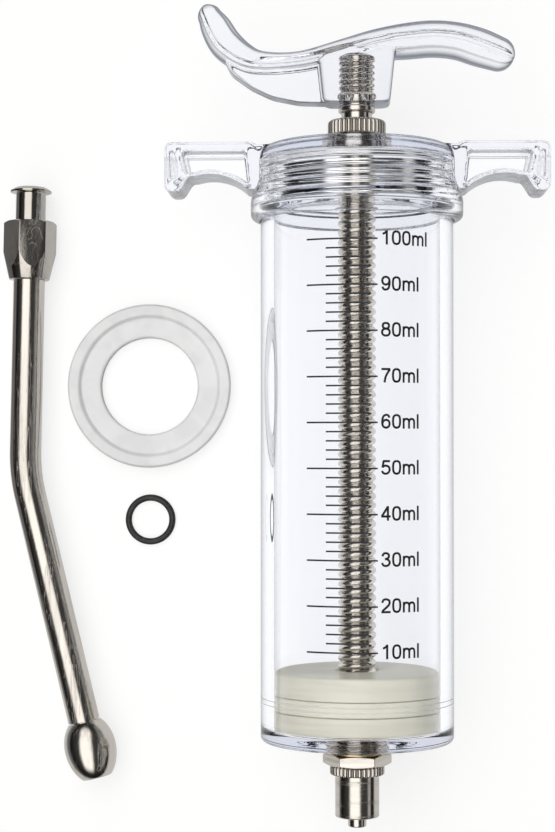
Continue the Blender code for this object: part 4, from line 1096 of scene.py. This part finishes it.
def bar_rings(foot, sides=96, steps=7):
    """Rings of the handle's bar: a rounded rectangle that follows the wave, with a crease along each face."""
    square, crease_width, dip_depth = 0.75, 0.11, 0.13
    path = smooth_path([Vector(station) for station in HANDLE_BAR], steps)
    turns = [math.tau * (index + 0.5) / sides for index in range(sides)]

    def ring(x, z, along, thick, deep):
        across = Vector((-along.y, along.x))
        crease = -0.5 * held((8.0 - x) / 16.0)
        points = []
        for turn in turns:
            off = math.copysign(abs(math.cos(turn)) ** square, math.cos(turn))
            side = math.copysign(abs(math.sin(turn)) ** square, math.sin(turn))
            shoulder = held((abs(off) - 0.62) / 0.1)
            dip = math.exp(-(((off - crease) / crease_width) ** 2))
            size = 1 - dip_depth * dip - dip_depth * shoulder ** 2 * (3 - 2 * shoulder)
            point = Vector((x, z)) + across * thick * off
            points.append((point.x, deep * size * side, point.y + foot))
        return points

    ends = [(1 - math.cos(math.radians(a)), math.sin(math.radians(a))) for a in (8, 20, 32, 45, 58, 70, 80)]
    rings = []
    for index, (x, z, thick, deep) in enumerate(path):
        along = direction(path, index)
        middle, tips = [ring(x, z, along, thick, deep)], []
        if index in (0, len(path) - 1):
            sign = -1 if index == 0 else 1
            tips = [ring(x + sign * along.x * thick * (1 - far), z + sign * along.y * thick * (1 - far),
                         along, thick * size, deep * (0.35 + 0.65 * size)) for far, size in ends]
        rings += tips + middle if index == 0 else middle + tips[::-1]
    return rings


def boss_rings(s):
    """Rings of the boss, a block with rounded uprights that narrows towards its foot."""
    rings = []
    for rise, part in ((0.0, 0.9), (0.3, 0.97), (0.9, 1.0), (s.boss_rise / 2, 1.0), (s.boss_rise, 1.0)):
        far = rise / s.boss_rise
        wide = (s.boss_foot + (s.boss_head - s.boss_foot) * far) / 2 * part
        deep = s.boss_depth / 2 * (0.94 + 0.06 * far) * part
        corners = ((-wide, -deep), (wide, -deep), (wide, deep), (-wide, deep))
        rings.append([(x, y, s.foot + rise) for x, y in rounded([(*corner, 1.8) for corner in corners])])
    return rings


def make_handle(context):
    s, finish = chosen(context, "handle")
    clear, nickel = clear_plastic(finish, "clear_handle", 0.12, 0.7, 0.93), turned_nickel(finish)
    web = rounded([(x, z + s.foot, radius) for x, z, radius in HANDLE_WEB], 12)
    web = bevelled(prism(web, -s.web / 2, s.web / 2, "XZ"), 0.8, 4, 50)
    body = joined(skinned(bar_rings(s.foot)), skinned(boss_rings(s)), web)
    finished("wave_handle", moulded(body, 0.22, 4), clear, "rod", ["handle"], sharp=80)
    foot, head, bulge, stud = 137.65, 150.45, 4.4, s.stud_radius
    outline = rounded((
        (0, foot, 0), (3.85, foot, 0.3), (4.05, 138.0, 0.15), (4.05, 138.9, 0.3), (3.75, 139.05, 0.1),
        (3.75, 139.4, 0), (3.6, 139.45, 0.1), (bulge, 140.3, 0.9), (bulge, 141.3, 0.9), (3.7, 142.05, 0.1),
        (3.4, 142.2, 0.1), (stud, 142.6, 0.1), (stud, 149.75, 0.5), (2.6, head, 1.2), (0, head, 0),
    ), 5)
    mesh = turned(finer(outline, stud, 142.0, 150.0, 0.1), 64)
    mesh = grown(mesh, thread_tree(), material=nickel, radius=stud, pitch=s.stud_pitch, height=s.stud_thread,
                 bead_power=0.8, sunk=1.0, start=142.2, end=149.2, run_out=0.6)
    dent_bulge(mesh, 140.8, bulge)
    finished("handle_screw", mesh, nickel, "rod", ["handle_stud"], sharp=50)


def dent_bulge(mesh, height, radius, dents=8, reach=0.8, depth=0.32):
    """Press shallow round dents into the bulge."""
    spots = [math.tau * (index + 0.5) / dents for index in range(dents)]
    for vertex in mesh.vertices:
        flat, rise = vertex.co.xy, vertex.co.z - height
        if abs(rise) > 1.0 or abs(flat.length - radius) > 0.6:
            continue
        turn = math.atan2(flat.y, flat.x)
        for spot in spots:
            far = math.hypot(((turn - spot + math.pi) % math.tau - math.pi) * radius, rise)
            if far < reach:
                push = 1 - depth * (1 - (far / reach) ** 2) ** 2 / flat.length
                vertex.co.x *= push
                vertex.co.y *= push


def make_fitting(context):
    s, finish = chosen(context, "fitting")
    nickel = turned_nickel(finish)
    brass = metal("turned_brass", finish.brass, dimmed(finish.brass, 0.55), (0.25, 4.0, 0.25), 0.18)
    washer = band(4.8, s.washer_radius, -2.6, -2.2, (0.1, 0.12, 0.12, 0.1), 3)
    finished("brass_washer", turned(washer, 96), brass, "barrel", ["luer_washer"])

    bore, neck, groove, stem = 1.3, 3.2, 2.6, s.stem_radius
    tip, top = -18.8, 2.4
    body = rounded((
        (bore, tip, 0.15), (s.tip_radius, tip, 0.35), (2.294, -9.0, 0.1), (neck, -9.0, 0.3), (neck, -8.3, 0),
        (groove, -8.3, 0), (groove, -7.5, 0), (neck, -7.5, 0), (neck, -4.6, 0), (stem, -4.6, 0),
        (stem, top, 0.4), (bore, top, 0.2),
    ))
    body = turned(finer(body, stem, -2.6, top, 0.08), 96)
    body = grown(body, thread_tree(), material=nickel, radius=stem, pitch=s.stem_pitch, height=0.5,
                 bead_power=0.8, sunk=1.0, start=-2.3, end=2.3, run_out=0.3)
    low, high, chamfer = -5.2, -2.7, 0.4
    flats = s.hexagon / 2
    corner = flats / math.cos(math.radians(30))
    cone = turned(rounded((
        (0, low, 0), (flats - 0.1, low, 0), (corner, low + chamfer, 0), (corner, high - chamfer, 0),
        (flats - 0.1, high, 0), (0, high, 0),
    )), 96)
    nut = bevelled(combined(prism(hexagon(s.hexagon), low, high), cone, "INTERSECT"), 0.12, 2, 25)
    finished("hex_fitting", joined(body, nut), nickel, "barrel", ["luer_body"], sharp=14)

    clip = band(2.7, 3.7, -8.2, -7.6, (0.1, 0.1, 0.1, 0.1), 2)
    finished("retaining_clip", turned(clip, 64), nickel, "barrel", ["luer_clip"])

    inner, outer, step = s.sleeve_bore, s.sleeve_radius, -7.4
    sleeve = rounded((
        (inner, -16.6, 0.3), (outer, -16.6, 0.7), (outer, -6.5, 0), (3.5, -6.5, 0), (3.5, step, 0),
        (inner, step, 0),
    ))
    wheel = band(3.3, s.knurl_radius, step, -5.3, (0.1, 0.45, 0.45, 0.1), 4)
    wheel = fluted(wheel, s.knurl_radius, s.knurl_flutes, 0.3, nickel, depth=0.34, reach=0.9)
    finished("lock_collar", joined(turned(sleeve, 96), wheel), nickel, "collar", ["luer_collar"],
             sharp=50)


def tube_path(s, start, steps=28):
    """Middles and directions along the tube: one straight leg, one bend, another straight leg."""
    reach = s.bend_radius * math.tan(s.bend / 2)
    path = [(Vector((0, 0, start)), Vector((0, 0, 1)))]
    foot = Vector((0, 0, start + s.upper_leg - reach))
    for step in range(steps + 1):
        angle = s.bend * step / steps
        shift = Vector((1 - math.cos(angle), 0, math.sin(angle))) * s.bend_radius
        path.append((foot + shift, Vector((math.sin(angle), 0, math.cos(angle)))))
    end, along = path[-1]
    path.append((end + along * (s.lower_leg - reach - 0.2), along))
    return path


def circle_on(step, radius, sides=80):
    middle, along = step
    across = Vector((along.z, 0, -along.x))
    turns = [math.tau * index / sides for index in range(sides)]
    return [middle + across * radius * math.cos(a) + Vector((0, 1, 0)) * radius * math.sin(a) for a in turns]


def make_nozzle(context):
    s, finish = chosen(context, "nozzle")
    drawn, place = drawn_nickel(finish), nozzle_place()
    hole, flange, low, high = 2.15, s.flange_radius, 8.0, 21.4
    hub = rounded((
        (hole, 0, 0.2), (3.5, 0.05, 0.8), (flange, 0.8, 0.12), (flange, 1.25, 0.15), (s.neck_radius, 1.4, 0.3),
        (s.neck_radius, low + 0.6, 0), (hole, low + 0.6, 0),
    ))
    flats = s.hexagon / 2
    corner = flats / math.cos(math.radians(30))
    hexes = prism(hexagon(s.hexagon), low, high)
    hexes.transform(Matrix.Rotation(-s.hexagon_turn, 4, "Z"))
    # The corner that would reach below the bench is cut level with it
    bench = prism([(-corner, -2 * flats), (corner, -2 * flats), (corner, -flats), (-corner, -flats)], 7.0, 22.0)
    hexes = combined(hexes, bench, "DIFFERENCE")
    cone = turned(rounded((
        (1.6, low, 0), (flats + 0.1, low, 0), (corner, low + 0.45, 0), (corner, 15.1, 0), (4.6, high, 0.3),
        (1.6, high, 0),
    )), 128)
    hexes = bevelled(combined(hexes, cone, "INTERSECT"), 0.24, 3, 22)
    finished("nozzle_socket", joined(turned(hub, 96), hexes), ground_nickel(finish), "nozzle", ["nozzle_hub"],
             place, sharp=8)
    path = tube_path(s, high + 0.1)
    rings = [circle_on(step, s.tube_radius) for step in path]
    rings += [circle_on(step, s.tube_bore) for step in reversed(path)]
    finished("bent_tube", skinned(rings, closed=True), drawn, "nozzle", ["nozzle_tube"], place)
    end, along = path[-1]
    ball = turned(ball_outline(s), 96)
    ball.transform(Matrix.Translation(end + along * 0.1) @ Matrix.Rotation(s.bend, 4, "Y"))
    finished("ball_end", ball, drawn, "nozzle", ["nozzle_bulb"], place)


def ball_outline(s, steps=24):
    """A shoulder at the tube, a round body and a flat face with the outlet."""
    half, seam, face, inner, outlet, shoulder = s.ball_radius, s.tube_radius + 0.1, 3.45, 1.4, 1.2, 0.2
    middle, top, end = s.ball_length * 0.47, s.ball_length - 0.1, s.ball_length
    low, high = math.degrees(math.asin(seam / half)), math.degrees(math.asin(face / half))
    outline = [Vector((inner, 0)), Vector((seam - 1.0, 0)), Vector((seam - 1.0, shoulder))]
    for step in range(steps + 1):
        angle = math.radians(low + (90 - low) * step / steps)
        rise = 1 - math.cos(angle) / math.cos(math.radians(low))
        outline.append(Vector((half * math.sin(angle), shoulder + (middle - shoulder) * rise)))
    for step in range(1, steps + 1):
        angle = math.radians(90 - (90 - high) * step / steps)
        drop = math.cos(angle) / math.cos(math.radians(high))
        outline.append(Vector((half * math.sin(angle), middle + (top - middle) * drop)))
    rest = ((face - 0.12, end), (1.35, end), (outlet, end - 0.15), (outlet, end * 0.55), (inner, end * 0.4))
    return outline + [Vector(point) for point in rest]


def make_spares(context):
    s, finish = chosen(context, "spare")
    lip = s.seal_radius - s.lip_wall
    outline = rounded((
        (s.seal_hole, 0, 0.3), (s.seal_radius - 0.7, 0, 0.5), (s.seal_radius, s.lip_height - 0.6, 0.5),
        (s.seal_radius - 0.5, s.lip_height, 0.3), (lip, s.lip_height, 0.6), (lip - 0.6, s.body_height, 0.5),
        (s.seal_hole, s.body_height, 0.6),
    ))
    finished("spare_seal_ring", turned(outline, 144), milky_silicone(finish), "spare_seal", ["spare_seal"],
             bench_place("spare_seal"))
    cord = arc(s.ring_radius, s.cord_radius, s.cord_radius, 0, 345, 23)
    finished("spare_o_ring", turned(cord, 96), black_rubber(finish), "spare_oring", ["spare_oring"],
             bench_place("spare_oring"))


# ---------------------------------------------------------------- stage


def bounced(tree):
    """Light path outputs, and whether the light has been mirrored on its way to the camera."""
    path = outputs(node(tree, "ShaderNodeLightPath"))
    return path, maths("GREATER_THAN", path["Glossy Depth"], 0.5)


def make_floor(stage):
    """Pale bench. Metal and clear plastic see it bright only round the set, as on a light table.

    Bare metal sees it dimmer, and darker still left of a line beside the nozzle's socket: a painted dark
    reflection, in colour and glow, with no card or other thing standing there.
    """
    bright_round, gone_round = 0.12, 0.3
    dark_band_edge, dark_band_width, dark_band_depth = -0.067, 0.004, 0.8
    glow, lost_on_metal, lost_in_dark_band = 1.1, 0.42, 0.63
    half = 3.0
    material, tree, shader = fresh_material("pale_bench")
    x, y, _ = split(tree, node(tree, "ShaderNodeTexCoord").outputs["Object"])
    near = ramped(maths("SQRT", x * x + y * y), bright_round, gone_round, 1.0, 0.05)
    path, mirrored = bounced(tree)
    mirrored *= maths("LESS_THAN", path["Transmission Depth"], 0.5)
    # Painted reflection: left of this line the bench is darker in colour and glow, but only where metal mirrors it
    beside = ramped(x, dark_band_edge, dark_band_edge + dark_band_width, dark_band_depth, 0.0)
    camera = path["Is Camera Ray"]
    coloured = maths("MAXIMUM", camera, near * (1.0 - mirrored * beside))
    through = maths("MAXIMUM", path["Is Transmission Ray"], path["Is Glossy Ray"]) * near
    seen = through * (glow - mirrored * (beside * lost_in_dark_band + lost_on_metal))
    fill(shader, {
        "Base Color": mixed(coloured, (0.02, 0.02, 0.025), stage.floor),
        "Roughness": 0.9,
        "Specular IOR Level": 0.1,
        "Emission Color": (1.0, 1.0, 1.0),
        "Emission Strength": maths("MAXIMUM", camera, seen) * stage.lift,
    })
    mesh = bpy.data.meshes.new("bench_top")
    corners = [(-half, -half, 0), (half, -half, 0), (half, half, 0), (-half, half, 0)]
    mesh.from_pydata(corners, [], [(0, 1, 2, 3)])
    mesh.materials.append(material)
    bench = stood("bench_top", mesh)


def make_surround(stage):
    """World round the bench: a dim room with soft lights in it, and white where the camera looks."""
    world = bpy.data.worlds.new("studio_surround")
    bpy.context.scene.world = world
    world.use_nodes = True
    tree = world.node_tree
    towards = node(tree, "ShaderNodeTexCoord").outputs["Generated"]
    x, y, z = split(tree, towards)
    side, ahead = maths("ARCTAN2", x, z), maths("ARCTAN2", y, z)

    def faded(off, inner, outer):
        return ramped(off, math.radians(inner), math.radians(outer), 1.0, 0.0)

    def strip(lean, inner, outer, middle, reach, end):
        """Long light that leans to the left, soft at its sides and at its ends."""
        off = maths("ABSOLUTE", side + lean)
        along = maths("ABSOLUTE", ahead - math.radians(middle))
        return faded(off, inner, outer) * faded(along, reach, end)

    spot_across, spot_along = math.radians(-12), math.radians(36)
    aim = Vector((math.tan(spot_across), math.tan(spot_along), 1)).normalized()
    toward = node(tree, "ShaderNodeVectorMath", towards, aim, operation="DOT_PRODUCT").outputs["Value"]
    spot = faded(maths("ARCCOSINE", Value(toward)), inner=14, outer=31)
    lamp = maths("MAXIMUM", strip(stage.lamp_side, 21, 32, middle=-12, reach=34, end=60), spot)
    lamp = lamp * maths("GREATER_THAN", z, 0.0) * stage.lamp
    rim = strip(math.radians(-66), 3, 12, middle=0, reach=50, end=75) * 0.5
    lit = ramped(z, 0.05, 0.75, 0.012, 0.06) + lamp + rim
    warm = node(tree, "ShaderNodeCombineColor", lit, lit * 0.985, lit * 0.96)
    clear = ramped(z, 0.1, 0.8, 0.05, 0.7)
    cool = node(tree, "ShaderNodeCombineColor", clear * 0.92, clear * 0.95, clear)
    path, mirrored = bounced(tree)
    seen = mixed(path["Is Transmission Ray"] * (1.0 - mirrored), warm, cool)
    seen = mixed(path["Is Camera Ray"], seen, (1.0, 1.0, 1.0))
    put(tree.nodes["Background"].inputs["Color"], seen)


def make_softbox(stage):
    """Large lamp overhead. It lights dull surfaces; what mirrors see of it is in the surround."""
    lamp = bpy.data.lights.new("overhead_softbox", "AREA")
    lamp.shape = "SQUARE"
    lamp.size = 1.0
    lamp.energy = stage.softbox
    softbox = stood("overhead_softbox", lamp)
    softbox.location = (-0.25, 0.2, 1.1)
    softbox.rotation_euler = Vector(softbox.location).to_track_quat("Z", "Y").to_euler()
    softbox.visible_camera = False
    softbox.visible_glossy = False
    softbox.visible_transmission = False


def make_camera():
    """Camera where the photograph was taken from, straight above the bench."""
    data = bpy.data.cameras.new("overhead_camera")
    data.lens = 85.53
    data.sensor_width = 36.0
    data.clip_start = 0.01
    data.clip_end = 50.0
    camera = stood("overhead_camera", data)
    camera.location = (0.018319, -0.015521, 0.456778)
    camera.rotation_euler = [math.radians(angle) for angle in (1.993, 2.120, 0.038)]
    bpy.context.scene.camera = camera


def make_stage(context):
    stage, scene = context.scene.syringe.stage, context.scene
    make_floor(stage)
    make_surround(stage)
    make_softbox(stage)
    make_camera()
    scene.view_settings.view_transform = "Standard"
    scene.cycles.max_bounces = 28
    scene.cycles.transmission_bounces = 28
    scene.cycles.glossy_bounces = 8
    scene.cycles.transparent_max_bounces = 48


# ---------------------------------------------------------------- operators


class SYRINGE_OT_barrel(bpy.types.Operator):
    """Make the clear barrel with its threaded neck"""
    bl_idname = "syringe.make_barrel"
    bl_label = "Clear barrel"

    def execute(self, context):
        make_barrel(context)
        return {"FINISHED"}


class SYRINGE_OT_scale(bpy.types.Operator):
    """Print the scale from 10 to 100 ml round the barrel"""
    bl_idname = "syringe.make_scale"
    bl_label = "Printed scale"

    def execute(self, context):
        make_scale(context)
        return {"FINISHED"}


class SYRINGE_OT_cap(bpy.types.Operator):
    """Make the winged screw cap, its bush and its seal ring"""
    bl_idname = "syringe.make_cap"
    bl_label = "Winged cap"

    def execute(self, context):
        make_cap(context)
        return {"FINISHED"}


class SYRINGE_OT_piston(bpy.types.Operator):
    """Make the two cream discs, the seal between them and the rod's O-ring"""
    bl_idname = "syringe.make_piston"
    bl_label = "Piston"

    def execute(self, context):
        make_piston(context)
        return {"FINISHED"}


class SYRINGE_OT_rod(bpy.types.Operator):
    """Make the threaded rod with its end nut and washer"""
    bl_idname = "syringe.make_rod"
    bl_label = "Threaded rod"

    def execute(self, context):
        make_rod(context)
        return {"FINISHED"}


class SYRINGE_OT_stop_nut(bpy.types.Operator):
    """Make the fluted nut that sets the dose"""
    bl_idname = "syringe.make_stop_nut"
    bl_label = "Dose nut"

    def execute(self, context):
        make_stop_nut(context)
        return {"FINISHED"}


class SYRINGE_OT_handle(bpy.types.Operator):
    """Make the wave-shaped handle and the metal screw in it"""
    bl_idname = "syringe.make_handle"
    bl_label = "Handle"

    def execute(self, context):
        make_handle(context)
        return {"FINISHED"}


class SYRINGE_OT_fitting(bpy.types.Operator):
    """Make the hexagonal tip fitting, its washer, its clip and its lock collar"""
    bl_idname = "syringe.make_fitting"
    bl_label = "Tip fitting"

    def execute(self, context):
        make_fitting(context)
        return {"FINISHED"}


class SYRINGE_OT_nozzle(bpy.types.Operator):
    """Make the bent nozzle: its socket, its tube and its ball end"""
    bl_idname = "syringe.make_nozzle"
    bl_label = "Bent nozzle"

    def execute(self, context):
        make_nozzle(context)
        return {"FINISHED"}


class SYRINGE_OT_spares(bpy.types.Operator):
    """Make the spare seal and the spare O-ring on the bench"""
    bl_idname = "syringe.make_spares"
    bl_label = "Spare seals"

    def execute(self, context):
        make_spares(context)
        return {"FINISHED"}


class SYRINGE_OT_stage(bpy.types.Operator):
    """Make the pale bench, the light round it and the camera above it"""
    bl_idname = "syringe.make_stage"
    bl_label = "Stage"

    def execute(self, context):
        make_stage(context)
        return {"FINISHED"}


MAKERS = (
    SYRINGE_OT_barrel,
    SYRINGE_OT_scale,
    SYRINGE_OT_cap,
    SYRINGE_OT_piston,
    SYRINGE_OT_rod,
    SYRINGE_OT_stop_nut,
    SYRINGE_OT_handle,
    SYRINGE_OT_fitting,
    SYRINGE_OT_nozzle,
    SYRINGE_OT_spares,
    SYRINGE_OT_stage,
)


class SYRINGE_PT_set(bpy.types.Panel):
    """Lists the pieces of the set and their sizes"""
    bl_idname = "SYRINGE_PT_set"
    bl_label = "Syringe set"
    bl_space_type = "VIEW_3D"
    bl_region_type = "UI"
    bl_category = "Syringe"

    def draw(self, context):
        for maker in MAKERS:
            self.layout.operator(maker.bl_idname)
        settings = context.scene.syringe
        for group in SyringeSettings.__annotations__:
            box = self.layout.box()
            box.label(text=group.title())
            values = getattr(settings, group)
            for name in type(values).__annotations__:
                box.prop(values, name)


CLASSES = (
    BarrelSizes, ScaleSizes, CapSizes, PlungerSizes, HandleSizes, FittingSizes, NozzleSizes, SpareSizes,
    Finishes, StageSettings, SyringeSettings, *MAKERS, SYRINGE_PT_set,
)


def register():
    for kind in CLASSES:
        bpy.utils.register_class(kind)
    bpy.types.Scene.syringe = PointerProperty(type=SyringeSettings)


def unregister():
    del bpy.types.Scene.syringe
    for kind in reversed(CLASSES):
        bpy.utils.unregister_class(kind)


def main():
    register()
    for maker in MAKERS:
        group, name = maker.bl_idname.split(".")
        getattr(getattr(bpy.ops, group), name)()


if __name__ == "__main__":
    main()
